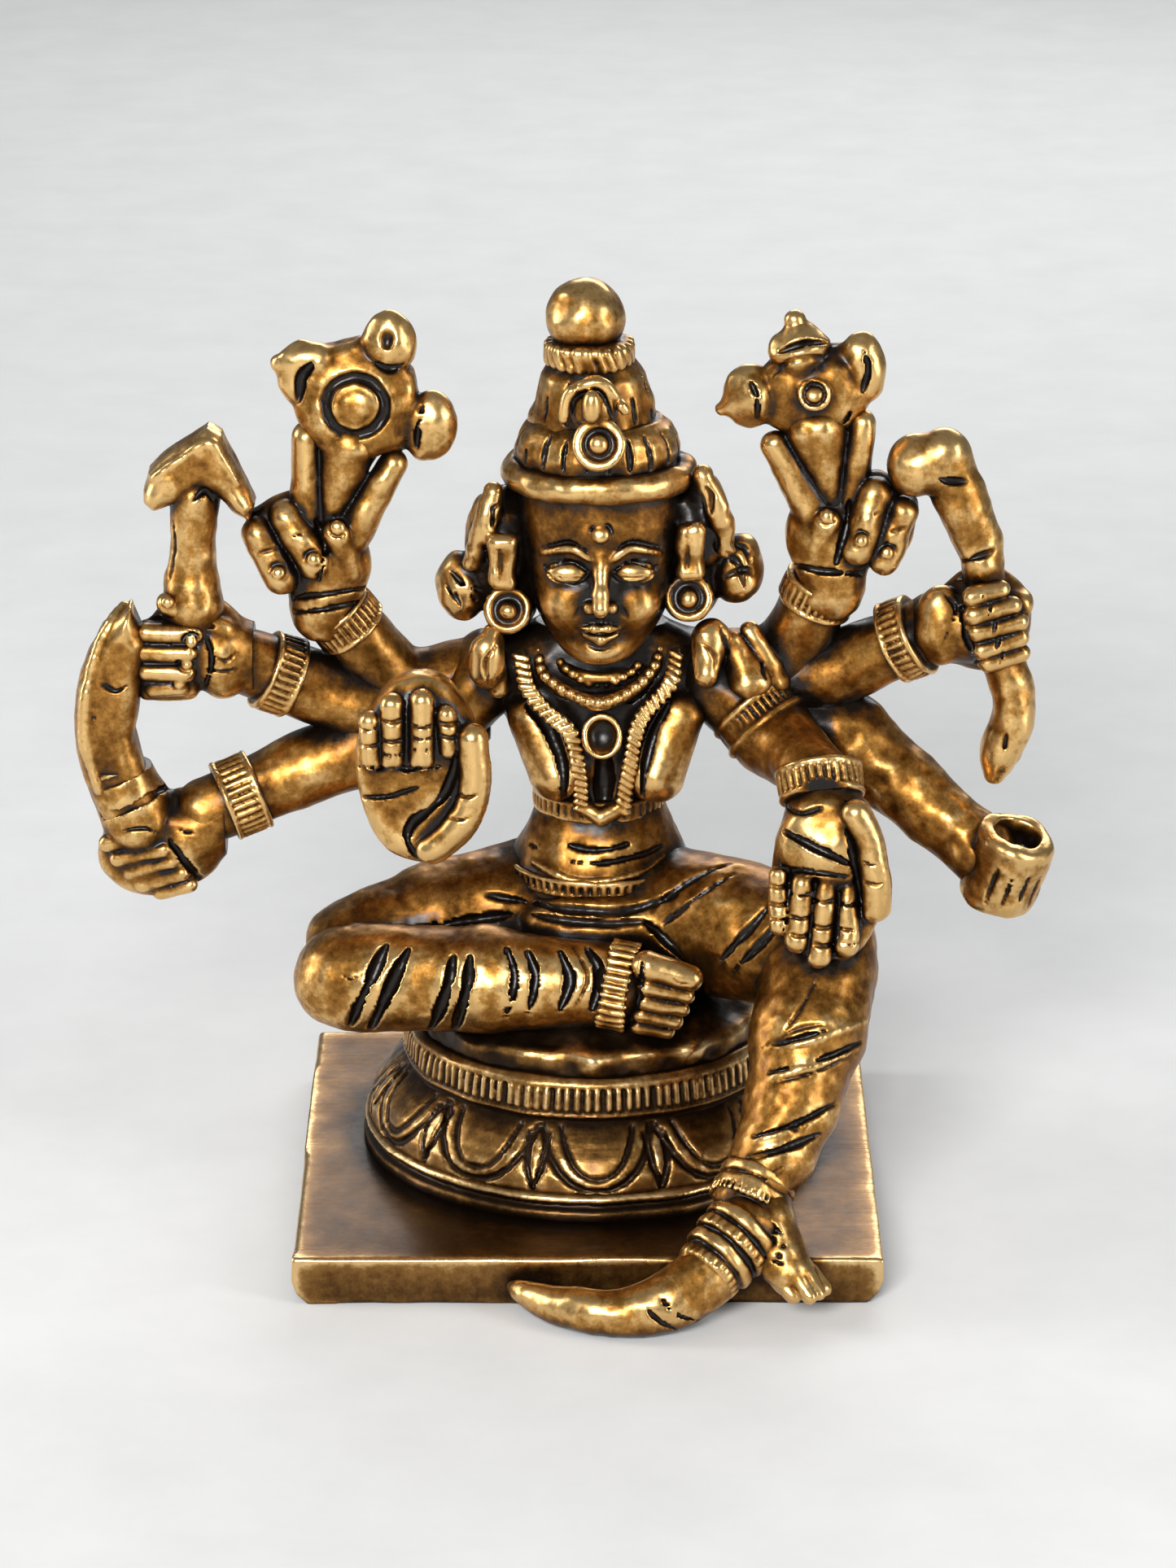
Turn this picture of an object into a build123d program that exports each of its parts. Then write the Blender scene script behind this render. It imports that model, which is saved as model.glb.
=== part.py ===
"""A three-inch antiqued brass figure: an eight-armed deity, seated with one leg down on a round lotus pedestal.

Frame: X to the viewer's right, Y to the back, Z up, in millimetres. The origin is the middle of the plinth's
underside. Sides in names are the viewer's, and an arm is named after what its hand holds or shows.
The figure is one rigid casting. Its nodes are the pieces that its pattern is built up from, and each one is cut
where its neighbours sit in it, so that they meet face to face.
"""

from build123d import *

import os
from itertools import pairwise

os.makedirs("parts", exist_ok=True)

# Plinth and pedestal
PLINTH_WIDTH, PLINTH_DEPTH, PLINTH_HEIGHT = 46.3, 46.5, 3.9
PLINTH_CORNER_ROUND, PLINTH_FOOT_ROUND = 0.9, 1.5
PEDESTAL_X, PEDESTAL_Y = 0.4, 2.2
FOOT_RING_RADIUS, FOOT_RING_TOP, FOOT_RING_ROUND = 18.9, 6.3, 1.1
PETAL_LOW_RADIUS, PETAL_TOP_RADIUS, PETAL_TOP = 17.9, 15.2, 11.2
PETAL_SHOULDER = (18.1, 9.4)  # radius and height of the fullest part of the petals
BEAD_RING_RADIUS, BEAD_RING_TOP, BEAD_RING_WALL, BEAD_RING_ROUND = 15.6, 14.4, 1.4, 0.9
SEAT_RADIUS, SEAT_TOP, CUSHION_TOP = 14.4, 16.5, 18.4

# The figure's middle line and the levels on it
MIDDLE_X, MIDDLE_Y = 0.9, 2.0
HIP_TOP, SHOULDER_TOP = 29.0, 47.6
CHIN, BROW = 47.0, 60.0
BAND_LOW, BAND_TOP, LOWER_TIER_TOP, UPPER_TIER_TOP = 59.6, 61.8, 65.0, 69.8
FINIAL_RADIUS, FINIAL_MIDDLE = 3.1, 73.2

# Jewellery
BELT_WALL, BELT_ROUND = 1.5, 0.35
CORD_RADIUS = 0.7
EARRING_RADIUS, EARRING_DEPTH, EARRING_BOSS = 2.1, 1.6, 0.8
BANGLE_ROUND = 0.45

# Hands
PALM_WIDTH, PALM_DEPTH, PALM_HEIGHT, PALM_ROUND = 6.6, 5.4, 6.4, 1.6
FINGERS, FINGER_RADIUS = 4, 0.95
OPEN_HAND_DEPTH, OPEN_HAND_ROUND = 2.6, 0.8

# What the hands hold
PLATE_DEPTH, PLATE_ROUND = 2.6, 0.6

BALL_SHARE = 1.02  # a limb's ball joints stand this much proud of its runs
SMALLEST_SOLID = 0.5  # cubic millimetres: a cut leaves nothing smaller

pieces = {}


def front_plane(middle, lean=0.1):
    """A plane through middle that faces the front, with its face turned up by lean."""
    return Plane(origin=middle, x_dir=(1, 0, 0), z_dir=(0, -1, lean))


def towards(start, end):
    """A plane at start that looks at end."""
    return Plane(origin=start, z_dir=Vector(*end) - Vector(*start))


def limb(points, radii, ball_turn=(0, 0, 0)):
    """A round limb through points: tapered runs between ball joints, whose poles ball_turn tips over."""
    with BuildPart() as made:
        for (start, low), (end, high) in pairwise(zip(points, radii)):
            run = towards(start, end)
            length = (Vector(*end) - Vector(*start)).length
            with BuildSketch(run):
                Circle(low)
            with BuildSketch(run.offset(length)):
                Circle(high)
            loft(ruled=True)
        for point, radius in zip(points, radii):
            with Locations(point):
                Sphere(radius * BALL_SHARE, rotation=ball_turn)
    return made.part


def joined(*shapes):
    """One body from shapes that run into each other."""
    with BuildPart() as made:
        for shape in shapes:
            add(shape)
    return made.part


def oval_stack(*levels):
    """A smooth closed body through level ovals: (height, middle x, middle y, half width, half depth)."""
    with BuildPart() as made:
        for height, x, y, half_width, half_depth in levels:
            with BuildSketch(Plane.XY.offset(height)):
                with Locations((x, y)):
                    Ellipse(half_width, half_depth)
        loft()
    return made.part


def disc(radius, low, top):
    """A level disc on the pedestal's middle line."""
    with BuildPart(Plane((PEDESTAL_X, PEDESTAL_Y, low))) as made:
        Cylinder(radius, top - low, align=(Align.CENTER, Align.CENTER, Align.MIN))
    return made.part


def bangle(start, end, bore, wall):
    """A ring with rounded rims round the line from start to end."""
    length = (Vector(*end) - Vector(*start)).length
    with BuildPart(towards(start, end)) as made:
        Cylinder(bore + wall, length, align=(Align.CENTER, Align.CENTER, Align.MIN))
        fillet(made.edges().filter_by(GeomType.CIRCLE), BANGLE_ROUND)
        Cylinder(bore, length, align=(Align.CENTER, Align.CENTER, Align.MIN), mode=Mode.SUBTRACT)
    return made.part


def belt(height, half_width, half_depth, drop, width):
    """An oval belt round the figure that hangs lower by drop in front."""
    level = Plane(origin=(MIDDLE_X, MIDDLE_Y, height), x_dir=(1, 0, 0), z_dir=(0, -drop, half_depth))
    with BuildPart() as made:
        with BuildSketch(level):
            Ellipse(half_width, half_depth)
            Ellipse(half_width - BELT_WALL, half_depth - BELT_WALL, mode=Mode.SUBTRACT)
        extrude(amount=width / 2, both=True)
        fillet(made.edges(), BELT_ROUND)
    return made.part


def bossed_disc(middle, lean, radius, depth, boss):
    """A round ornament with a sunk ring about its boss."""
    with BuildPart(front_plane(middle, lean)) as made:
        Cylinder(radius, depth)
        fillet(made.edges().filter_by(GeomType.CIRCLE), depth / 4)
        with Locations((0, 0, depth / 2)):
            Cylinder(radius * 0.62, depth / 2, mode=Mode.SUBTRACT)
        with Locations((0, 0, depth / 4)):
            Sphere(boss)
    return made.part


# Plinth and pedestal
with BuildPart() as plinth:
    Box(PLINTH_WIDTH, PLINTH_DEPTH, PLINTH_HEIGHT, align=(Align.CENTER, Align.CENTER, Align.MIN))
    fillet(plinth.edges().filter_by(Axis.Z), PLINTH_CORNER_ROUND)
    fillet(plinth.faces().sort_by(Axis.Z)[0].edges().filter_by(Axis.Y), PLINTH_FOOT_ROUND)
pieces["plinth"] = plinth.part

with BuildPart() as foot_ring:
    add(disc(FOOT_RING_RADIUS, PLINTH_HEIGHT, FOOT_RING_TOP))
    fillet(foot_ring.edges().filter_by(GeomType.CIRCLE).sort_by(Axis.Z)[-1], FOOT_RING_ROUND)
pieces["pedestal_foot_ring"] = foot_ring.part

with BuildPart() as petal_drum:
    with BuildSketch(Plane(origin=(PEDESTAL_X, PEDESTAL_Y, 0), x_dir=(1, 0, 0), z_dir=(0, -1, 0))):
        with BuildLine():
            ThreePointArc((PETAL_LOW_RADIUS, FOOT_RING_TOP), PETAL_SHOULDER, (PETAL_TOP_RADIUS, PETAL_TOP))
            Polyline(
                (PETAL_TOP_RADIUS, PETAL_TOP), (0, PETAL_TOP), (0, FOOT_RING_TOP), (PETAL_LOW_RADIUS, FOOT_RING_TOP)
            )
        make_face()
    revolve(axis=Axis((PEDESTAL_X, PEDESTAL_Y, 0), (0, 0, 1)))
pieces["lotus_petal_drum"] = petal_drum.part

with BuildPart() as bead_ring:
    add(disc(BEAD_RING_RADIUS, PETAL_TOP, BEAD_RING_TOP))
    fillet(bead_ring.edges().filter_by(GeomType.CIRCLE), BEAD_RING_ROUND)
    add(disc(BEAD_RING_RADIUS - BEAD_RING_WALL, PETAL_TOP, BEAD_RING_TOP), mode=Mode.SUBTRACT)
pieces["pedestal_bead_ring"] = bead_ring.part

pieces["seat"] = joined(
    disc(BEAD_RING_RADIUS - BEAD_RING_WALL, PETAL_TOP, BEAD_RING_TOP),
    disc(SEAT_RADIUS, BEAD_RING_TOP, SEAT_TOP),
    oval_stack((SEAT_TOP, 0.4, 1.6, 13.4, 12.6), (CUSHION_TOP, 0.4, 2.0, 11.4, 9.8)),
)

# Lap, legs and feet
hips = oval_stack(
    (CUSHION_TOP, 0.5, 1.6, 11.0, 8.6),
    (22.0, 0.6, 1.6, 11.4, 8.8),
    (25.5, 0.8, 2.0, 9.6, 7.4),
    (HIP_TOP, 0.9, MIDDLE_Y, 7.2, 5.4),
)
folded_thigh = limb([(-4.0, 2.6, 23.8), (-17.4, -0.4, 21.0)], [5.2, 4.4])
pendant_thigh = limb([(5.0, 1.0, 24.0), (17.6, -8.4, 23.4)], [5.6, 5.0])
pieces["lap"] = joined(hips, folded_thigh, pendant_thigh)
pieces["folded_shin"] = limb(
    [(-19.2, -4.0, 19.9), (-8.0, -7.2, 21.0), (1.6, -8.2, 21.0)], [4.3, 4.3, 3.2], ball_turn=(0, 90, 0)
)
pieces["folded_anklet"] = bangle((1.5, -8.2, 21.0), (3.4, -8.5, 20.7), 2.2, 1.0)
folded_toes = [
    limb([(5.4, -9.6, 21.9 - 1.3 * row), (8.4 - 0.4 * row, -9.8, 21.6 - 1.3 * row)], [0.85, 0.7])
    for row in range(FINGERS)
]
pieces["folded_foot"] = joined(limb([(3.0, -8.4, 20.8), (5.6, -8.9, 20.0)], [2.7, 2.5]), *folded_toes)

pieces["pendant_shin"] = limb(
    [(18.2, -10.8, 22.4), (16.8, -15.0, 17.8), (15.4, -18.0, 13.0), (13.4, -20.4, 9.8)],
    [4.7, 4.3, 3.3, 3.1],
)
pieces["pendant_anklet"] = bangle((13.6, -20.2, 9.9), (12.7, -21.6, 8.4), 2.7, 0.8)
pendant_toes = [
    limb([(15.4 + 0.7 * row, -27.0 + 0.7 * row, 3.2), (16.4 + 0.7 * row, -28.2 + 0.9 * row, 1.9)], [0.85, 0.65])
    for row in range(FINGERS)
]
pieces["pendant_foot"] = joined(limb([(12.6, -21.8, 7.8), (16.0, -26.0, 3.6)], [3.1, 1.9]), *pendant_toes)
footrest_axis = towards((11.8, -24.0, 6.2), (7.6, -27.6, 2.9))
with BuildPart() as footrest_lotus:
    for radius, height in ((3.3, 0.0), (3.0, 2.6), (2.5, 4.6)):
        with BuildSketch(footrest_axis.offset(height)):
            Circle(radius)
    loft(ruled=True)
pieces["footrest_lotus"] = footrest_lotus.part
# The stem runs on from the lotus in a level hook, and its tip touches the plinth's front face
STEM = (
    ((8.8, -26.7, 3.6), (-0.74, -0.52, -0.42), 2.3),
    ((4.6, -28.5, 1.95), (-0.96, -0.2, -0.2), 1.8),
    ((-0.4, -27.9, 1.75), (-0.93, 0.36, 0.0), 1.55),
    ((-3.8, -25.8, 1.75), (-0.76, 0.65, 0.0), 1.1),
    ((-5.9, -23.4, 1.85), (-0.66, 0.75, 0.0), 0.4),
)
with BuildPart() as footrest_stem:
    for point, heading, radius in STEM:
        with BuildSketch(Plane(origin=point, z_dir=heading)):
            Circle(radius)
    loft()
pieces["footrest_stem"] = footrest_stem.part

# Torso, belts and what hangs on the chest
pieces["torso"] = oval_stack(
    (27.4, 0.9, MIDDLE_Y, 7.0, 5.6),
    (30.2, 0.9, MIDDLE_Y, 6.3, 5.2),
    (33.0, 0.8, MIDDLE_Y, 4.9, 4.0),
    (38.5, 1.0, MIDDLE_Y, 7.2, 4.9),
    (41.5, 1.0, MIDDLE_Y, 7.9, 4.9),
    (45.5, 1.0, MIDDLE_Y, 9.6, 4.0),
    (SHOULDER_TOP, 1.0, MIDDLE_Y, 5.2, 3.2),
)
pieces["waist_belt"] = belt(33.2, 5.5, 4.7, 0.6, 1.5)
pieces["hip_belt"] = belt(28.6, 7.6, 6.2, 1.0, 1.5)
pieces["necklace"] = bangle((1.0, 0.8, 44.8), (1.0, 0.0, 45.8), 3.6, 1.3)
pieces["chest_cords"] = joined(
    limb([(-4.2, -1.2, 45.0), (-3.6, -3.3, 40.6), (0.6, -2.0, 34.4)], [CORD_RADIUS] * 3),
    limb([(6.2, -1.2, 45.0), (5.4, -3.3, 40.6), (1.2, -2.0, 34.4)], [CORD_RADIUS] * 3),
)
with BuildPart() as pendant_ring:
    with BuildSketch(front_plane((1.1, -2.6, 40.0))):
        Ellipse(1.7, 1.9)
        Ellipse(0.9, 1.1, mode=Mode.SUBTRACT)
    extrude(amount=1.5)
pieces["pendant_ring"] = pendant_ring.part

# Head, hair and ear jewellery
pieces["head"] = oval_stack(
    (CHIN - 1.6, 1.0, 1.8, 2.8, 2.4),
    (CHIN, 1.0, 0.4, 2.8, 4.0),
    (CHIN + 1.8, 1.0, 0.6, 4.2, 5.0),
    (CHIN + 6.5, 1.0, 0.6, 5.7, 5.5),
    (BROW, 0.9, 1.0, 5.8, 5.5),
)
pieces["earring_left"] = bossed_disc((-6.3, -1.6, 50.0), 0.2, EARRING_RADIUS, EARRING_DEPTH, EARRING_BOSS)
pieces["earring_right"] = bossed_disc((7.9, -1.6, 51.0), 0.2, EARRING_RADIUS, EARRING_DEPTH, EARRING_BOSS)
pieces["ear_and_hair_left"] = joined(
    limb([(-6.0, -0.2, 56.6), (-6.0, -0.4, 52.6)], [1.4, 1.3]),
    limb([(-6.9, 1.4, 59.2), (-8.0, 1.8, 54.4), (-9.8, 2.4, 51.4)], [1.6, 1.6, 1.9]),
)
pieces["ear_and_hair_right"] = joined(
    limb([(7.9, -0.2, 57.0), (7.8, -0.4, 53.4)], [1.4, 1.3]),
    limb([(8.7, 1.4, 59.8), (9.6, 1.8, 55.8), (11.4, 2.4, 52.6)], [1.6, 1.6, 1.9]),
)
pieces["shoulder_drop_left"] = limb([(-6.3, -1.8, 47.6), (-6.8, -2.4, 45.6)], [1.1, 1.6])
pieces["shoulder_drops_right"] = joined(
    limb([(9.2, -1.8, 48.0), (9.4, -2.4, 45.9)], [1.2, 1.7]),
    limb([(11.0, -1.0, 48.4), (13.2, -1.6, 45.0)], [1.4, 1.9]),
)

# Crown
pieces["crown_band"] = oval_stack(
    (BAND_LOW, 0.8, 0.9, 8.0, 6.6), (60.7, 0.8, 0.9, 8.3, 6.9), (BAND_TOP, 0.8, 0.9, 7.9, 6.5)
)
pieces["crown_lower_tier"] = oval_stack(
    (BAND_TOP, 0.7, 1.0, 6.6, 5.6), (63.4, 0.6, 1.0, 6.2, 5.2), (LOWER_TIER_TOP, 0.5, 1.0, 5.3, 4.5)
)
pieces["crown_upper_tier"] = oval_stack(
    (LOWER_TIER_TOP, 0.4, 1.0, 5.0, 4.3), (67.5, 0.3, 1.0, 4.2, 3.7), (UPPER_TIER_TOP, 0.1, 1.0, 3.4, 3.0)
)
with BuildPart() as crown_ornament:
    with BuildSketch(front_plane((0.3, -2.0, 67.4), 0.25)):
        Ellipse(2.1, 1.9)
    extrude(amount=1.9)
    add(bossed_disc((0.5, -4.2, 65.0), 0.25, 1.9, 3.2, 0.9))
pieces["crown_ornament"] = crown_ornament.part
with BuildPart(Plane((0.1, 1.0, 70.4))) as rope_ring:
    Torus(2.8, 0.9)
pieces["crown_rope_ring"] = rope_ring.part
with BuildPart() as finial:
    with Locations((-0.2, 1.0, FINIAL_MIDDLE)):
        Sphere(FINIAL_RADIUS)
    with Locations((0.0, 1.0, UPPER_TIER_TOP)):
        Cylinder(2.3, 2.2, align=(Align.CENTER, Align.CENTER, Align.MIN))
pieces["crown_finial"] = finial.part

# Arms: each through shoulder, elbow and wrist, and the cup's through the hand under it
ARMS = {
    "discus": ([(-8.6, 2.6, 43.6), (-14.6, 2.4, 41.8), (-21.0, 0.2, 51.0)], [3.2, 3.0, 2.4]),
    "axe": ([(-12.0, 2.4, 41.4), (-18.4, 1.6, 41.2), (-28.0, -0.6, 45.8)], [2.8, 3.2, 2.6]),
    "sword": ([(-12.0, 2.2, 39.4), (-17.8, 1.3, 37.8), (-30.6, -1.6, 33.2)], [2.7, 3.3, 2.6]),
    "blessing": ([(-9.0, 1.4, 43.6), (-12.4, 0.0, 38.8), (-13.2, -8.4, 38.2)], [3.2, 2.9, 2.6]),
    "conch": ([(10.2, 2.6, 43.6), (15.6, 2.4, 44.0), (19.2, 0.2, 53.2)], [3.2, 3.0, 2.5]),
    "bow": ([(13.0, 2.4, 42.6), (19.0, 1.6, 43.8), (28.2, -1.0, 48.8)], [2.8, 3.0, 2.6]),
    "cup": ([(13.0, 2.2, 40.6), (20.4, 1.4, 38.8), (31.0, -2.4, 30.4), (33.2, -2.6, 27.4)], [2.6, 3.3, 2.6, 3.0]),
    "giving": ([(10.6, 1.4, 43.8), (14.6, -1.4, 39.6), (18.6, -10.2, 38.6)], [3.2, 3.2, 2.6]),
}
# Bangles: from and to, as shares of the forearm, bore and wall
BANGLES = {
    "discus": (0.62, 0.86, 2.3, 0.9),
    "axe": (0.52, 0.76, 2.5, 1.1),
    "sword": (0.66, 0.88, 2.5, 1.2),
    "conch": (0.62, 0.86, 2.3, 1.0),
    "bow": (0.56, 0.78, 2.5, 1.3),
    "giving": (0.66, 0.92, 2.4, 1.1),
}
for name, (points, radii) in ARMS.items():
    pieces[f"{name}_arm"] = limb(points, radii)
for name, (low, high, bore, wall) in BANGLES.items():
    elbow, wrist = (Vector(*point) for point in ARMS[name][0][-2:])
    forearm = wrist - elbow
    pieces[f"{name}_bangle"] = bangle(tuple(elbow + forearm * low), tuple(elbow + forearm * high), bore, wall)


# Hands
def fist(middle, across, up):
    """A hand closed round a shaft that runs along up: a rounded palm with a stack of fingers in front."""
    knuckles = PALM_HEIGHT / (FINGERS + 0.2)
    with BuildPart(Plane(origin=middle, x_dir=across, z_dir=up)) as made:
        Box(PALM_WIDTH, PALM_DEPTH, PALM_HEIGHT)
        fillet(made.edges(), PALM_ROUND)
        for row in range(FINGERS):
            height = knuckles * (row - (FINGERS - 1) / 2) - 0.2
            with Locations(Location((0.9, -PALM_DEPTH / 2 + 0.4, height), (0, 90, 0))):
                Cylinder(FINGER_RADIUS, PALM_WIDTH * 0.72)
    return made.part


def raised_hand(wrist, palm, tips, folded):
    """A hand held up with two fingers raised to tips and the others folded: (knuckle, finger end)."""
    raised = [limb([palm, tip], [1.3, 0.8]) for tip in tips]
    bent = [limb([knuckle, end], [1.25, 1.1]) for knuckle, end in folded]
    return joined(limb([wrist, palm], [2.4, 2.9]), *raised, *bent)


def open_hand(middle, up, out, width, length):
    """A flat open hand: an oval plate with fingers and a thumb raised on its face."""
    face = Plane(origin=middle, x_dir=Vector(*up).cross(Vector(*out)), z_dir=out)
    with BuildPart(face) as made:
        with BuildSketch(face):
            Ellipse(width / 2, length / 2)
        extrude(amount=OPEN_HAND_DEPTH)
        fillet(made.edges(), OPEN_HAND_ROUND)
        for column in range(FINGERS):
            across = width * 0.19 * (column - (FINGERS - 1) / 2)
            with Locations(Location((across, length * 0.2, OPEN_HAND_DEPTH - 0.6), (90, 0, 0))):
                Cylinder(width * 0.1, length * 0.36)
        with Locations(Location((width * 0.33, -length * 0.14, OPEN_HAND_DEPTH - 0.6), (90, 0, 0))):
            Cylinder(width * 0.13, length * 0.4)
    return made.part


pieces["discus_hand"] = raised_hand(
    wrist=(-21.2, 0.1, 51.4),
    palm=(-20.6, -0.4, 54.6),
    tips=[(-21.8, 0.2, 64.0), (-15.6, 0.2, 61.8)],
    folded=[((-25.0, -1.2, 57.4), (-23.2, -2.0, 53.4)), ((-23.0, -1.6, 58.2), (-20.8, -2.4, 54.4))],
)
pieces["conch_hand"] = raised_hand(
    wrist=(19.3, 0.1, 53.2),
    palm=(19.6, -0.4, 56.4),
    tips=[(13.8, 0.2, 64.6), (20.8, 0.2, 65.0)],
    folded=[((22.0, -1.6, 59.6), (20.4, -2.4, 55.2)), ((24.6, -1.2, 58.8), (22.8, -2.0, 54.6))],
)
pieces["axe_hand"] = fist((-31.4, -1.6, 47.4), across=(-1, 0, 0.05), up=(0.05, 0, 1))
pieces["sword_hand"] = fist((-34.4, -2.2, 31.8), across=(-0.6, 0, -0.8), up=(-0.8, 0, 0.6))
pieces["bow_hand"] = fist((31.0, -1.6, 49.6), across=(0.92, 0, -0.39), up=(0.39, 0, 0.92))
pieces["blessing_hand"] = open_hand((-13.3, -9.4, 40.0), up=(0, 0.1, 1), out=(0, -1, 0.1), width=10.4, length=16.0)
pieces["giving_hand"] = open_hand((18.7, -11.0, 31.2), up=(0, -0.3, -1), out=(0, -1, 0.3), width=9.2, length=14.6)

# What the hands hold
def held_plate(middle, outline, knobs, boss):
    """A plate held up in the fingers: a rounded outline, flame knobs on its edge and a boss on its face."""
    face = front_plane(middle)
    with BuildPart() as made:
        with BuildSketch(face) as flat:
            Polygon(*outline, align=None)
            fillet(flat.vertices(), PLATE_ROUND)
            for x, y, radius in knobs:
                with Locations((x, y)):
                    Circle(radius)
        extrude(amount=PLATE_DEPTH / 2, both=True)
        with BuildSketch(face.offset(PLATE_DEPTH / 2)):
            Circle(boss)
        extrude(amount=0.6)
    return made.part


discus_outline = [(-4.2, 2.4), (-2.2, 4.2), (2.2, 4.2), (4.6, 2.0), (4.6, -2.0), (2.0, -4.2), (0.2, -6.6), (-2.0, -4.2)]
discus_outline += [(-4.4, -2.0)]
pieces["discus"] = held_plate(
    (-18.0, -0.2, 66.4), discus_outline, [(-4.5, 2.9, 1.7), (2.5, 5.2, 1.8), (5.6, -1.6, 1.8)], boss=2.1
)
conch_outline = [(-4.2, 3.2), (4.3, 3.8), (4.6, 0.0), (1.2, -4.8), (-0.8, -4.8), (-4.6, 0.4)]
pieces["conch"] = held_plate(
    (17.2, -0.2, 66.6), conch_outline, [(-1.0, 5.4, 2.2), (-5.3, 0.3, 1.8), (4.7, 2.9, 1.8)], boss=0.9
)

with BuildPart() as axe_head:
    with BuildSketch(front_plane((-30.2, -1.8, 60.6), lean=0)):
        Polygon((-4.9, -0.6), (1.0, 4.6), (4.3, -2.2), (3.0, -3.2), (0.8, 0.8), (-3.8, -1.9), align=None)
    extrude(amount=1.9, both=True)
    fillet(axe_head.edges(), PLATE_ROUND)
axe_shaft = limb([(-31.0, -1.4, 45.0), (-31.0, -1.6, 51.6), (-30.6, -1.8, 59.4)], [1.5, 1.7, 2.1])
pieces["axe"] = joined(axe_shaft, axe_head.part)
pieces["sword"] = limb(
    [(-34.2, -2.2, 31.0), (-37.4, -2.4, 35.6), (-38.2, -2.6, 41.6), (-37.4, -2.6, 46.4), (-35.8, -2.2, 50.4)],
    [1.6, 2.4, 2.4, 1.9, 0.6],
)
pieces["bow"] = limb(
    [
        (26.6, -1.6, 61.9),
        (29.2, -1.6, 58.6),
        (30.6, -1.6, 54.0),
        (31.4, -1.6, 49.2),
        (33.4, -1.8, 43.8),
        (33.6, -2.0, 40.6),
        (32.2, -2.0, 36.6),
    ],
    [2.4, 1.9, 1.5, 1.3, 1.5, 1.6, 0.9],
)
cup_axis = Plane(origin=(32.6, -3.0, 26.6), z_dir=(0.16, -0.16, 0.97))
with BuildPart(cup_axis) as cup:
    for radius, height in ((2.5, 0.0), (3.1, 6.0)):
        with BuildSketch(cup_axis.offset(height)):
            Circle(radius)
    loft(ruled=True)
    with Locations((0, 0, 4.0)):
        Cylinder(2.3, 2.0, align=(Align.CENTER, Align.CENTER, Align.MIN), mode=Mode.SUBTRACT)
pieces["cup"] = cup.part

# Cutting: a piece is cut by the ones ahead of it, and keeps its shape against those behind it
CUT_ORDER = (
    "plinth pedestal_bead_ring seat pedestal_foot_ring lotus_petal_drum "
    "discus conch axe sword bow cup "
    "blessing_hand giving_hand discus_hand conch_hand axe_hand sword_hand bow_hand "
    "discus_bangle axe_bangle sword_bangle conch_bangle bow_bangle giving_bangle "
    "crown_ornament crown_rope_ring crown_finial crown_band crown_lower_tier crown_upper_tier "
    "earring_left earring_right pendant_ring necklace chest_cords waist_belt hip_belt "
    "folded_anklet folded_foot pendant_anklet footrest_lotus pendant_foot footrest_stem "
    "shoulder_drop_left shoulder_drops_right ear_and_hair_left ear_and_hair_right "
    "head pendant_shin folded_shin torso "
    "blessing_arm giving_arm discus_arm conch_arm axe_arm bow_arm sword_arm cup_arm lap"
).split()


def boxes_meet(one, other):
    """True where the bounding boxes of two shapes overlap."""
    a, b = one.bounding_box(), other.bounding_box()
    return all(
        low <= other_high and other_low <= high
        for low, high, other_low, other_high in zip(a.min, a.max, b.min, b.max)
    )


finished = []
for name in CUT_ORDER:
    with BuildPart() as piece:
        add(pieces[name])
        for neighbour in finished:
            if boxes_meet(piece.part, neighbour):
                add(neighbour, mode=Mode.SUBTRACT)
    solids = [solid for solid in piece.part.solids() if solid.volume > SMALLEST_SOLID]
    piece.part = solids[0] if len(solids) == 1 else Compound(children=solids)
    piece.part.label = name
    export_step(piece.part, f"parts/{name}.step")
    finished += solids
    print(name, len(solids), round(sum(solid.volume for solid in solids), 1))
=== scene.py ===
"""The looks of an antiqued brass seated figure: every CAD node gets a piece sculpted from distance fields.

Blender works in metres and the sculpting in millimetres, in the CAD frame: X to the viewer's right, Y to the
back, Z up. A piece is modelled round the middle of its CAD node's box, so it sits where the frame says.
"""
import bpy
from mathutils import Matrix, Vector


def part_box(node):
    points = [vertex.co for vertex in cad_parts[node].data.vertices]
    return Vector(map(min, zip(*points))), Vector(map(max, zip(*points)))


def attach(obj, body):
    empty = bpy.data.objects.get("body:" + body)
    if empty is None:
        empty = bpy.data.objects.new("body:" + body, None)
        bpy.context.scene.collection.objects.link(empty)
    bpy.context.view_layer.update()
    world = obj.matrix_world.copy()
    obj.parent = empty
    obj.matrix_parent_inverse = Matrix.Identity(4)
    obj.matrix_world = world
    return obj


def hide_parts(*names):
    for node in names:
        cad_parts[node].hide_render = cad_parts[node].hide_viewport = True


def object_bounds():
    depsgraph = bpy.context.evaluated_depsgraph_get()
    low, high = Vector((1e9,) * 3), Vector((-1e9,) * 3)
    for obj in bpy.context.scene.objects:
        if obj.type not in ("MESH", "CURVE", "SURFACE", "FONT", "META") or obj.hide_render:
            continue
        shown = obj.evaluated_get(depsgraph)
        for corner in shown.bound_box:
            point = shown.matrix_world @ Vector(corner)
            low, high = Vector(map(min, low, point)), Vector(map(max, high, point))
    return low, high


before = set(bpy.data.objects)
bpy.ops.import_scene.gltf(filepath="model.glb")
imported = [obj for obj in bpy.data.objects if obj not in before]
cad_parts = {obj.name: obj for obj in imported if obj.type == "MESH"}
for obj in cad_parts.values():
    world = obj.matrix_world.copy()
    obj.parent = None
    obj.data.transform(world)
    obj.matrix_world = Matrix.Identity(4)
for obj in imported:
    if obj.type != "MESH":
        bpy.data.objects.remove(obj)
CAD_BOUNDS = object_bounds()

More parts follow.
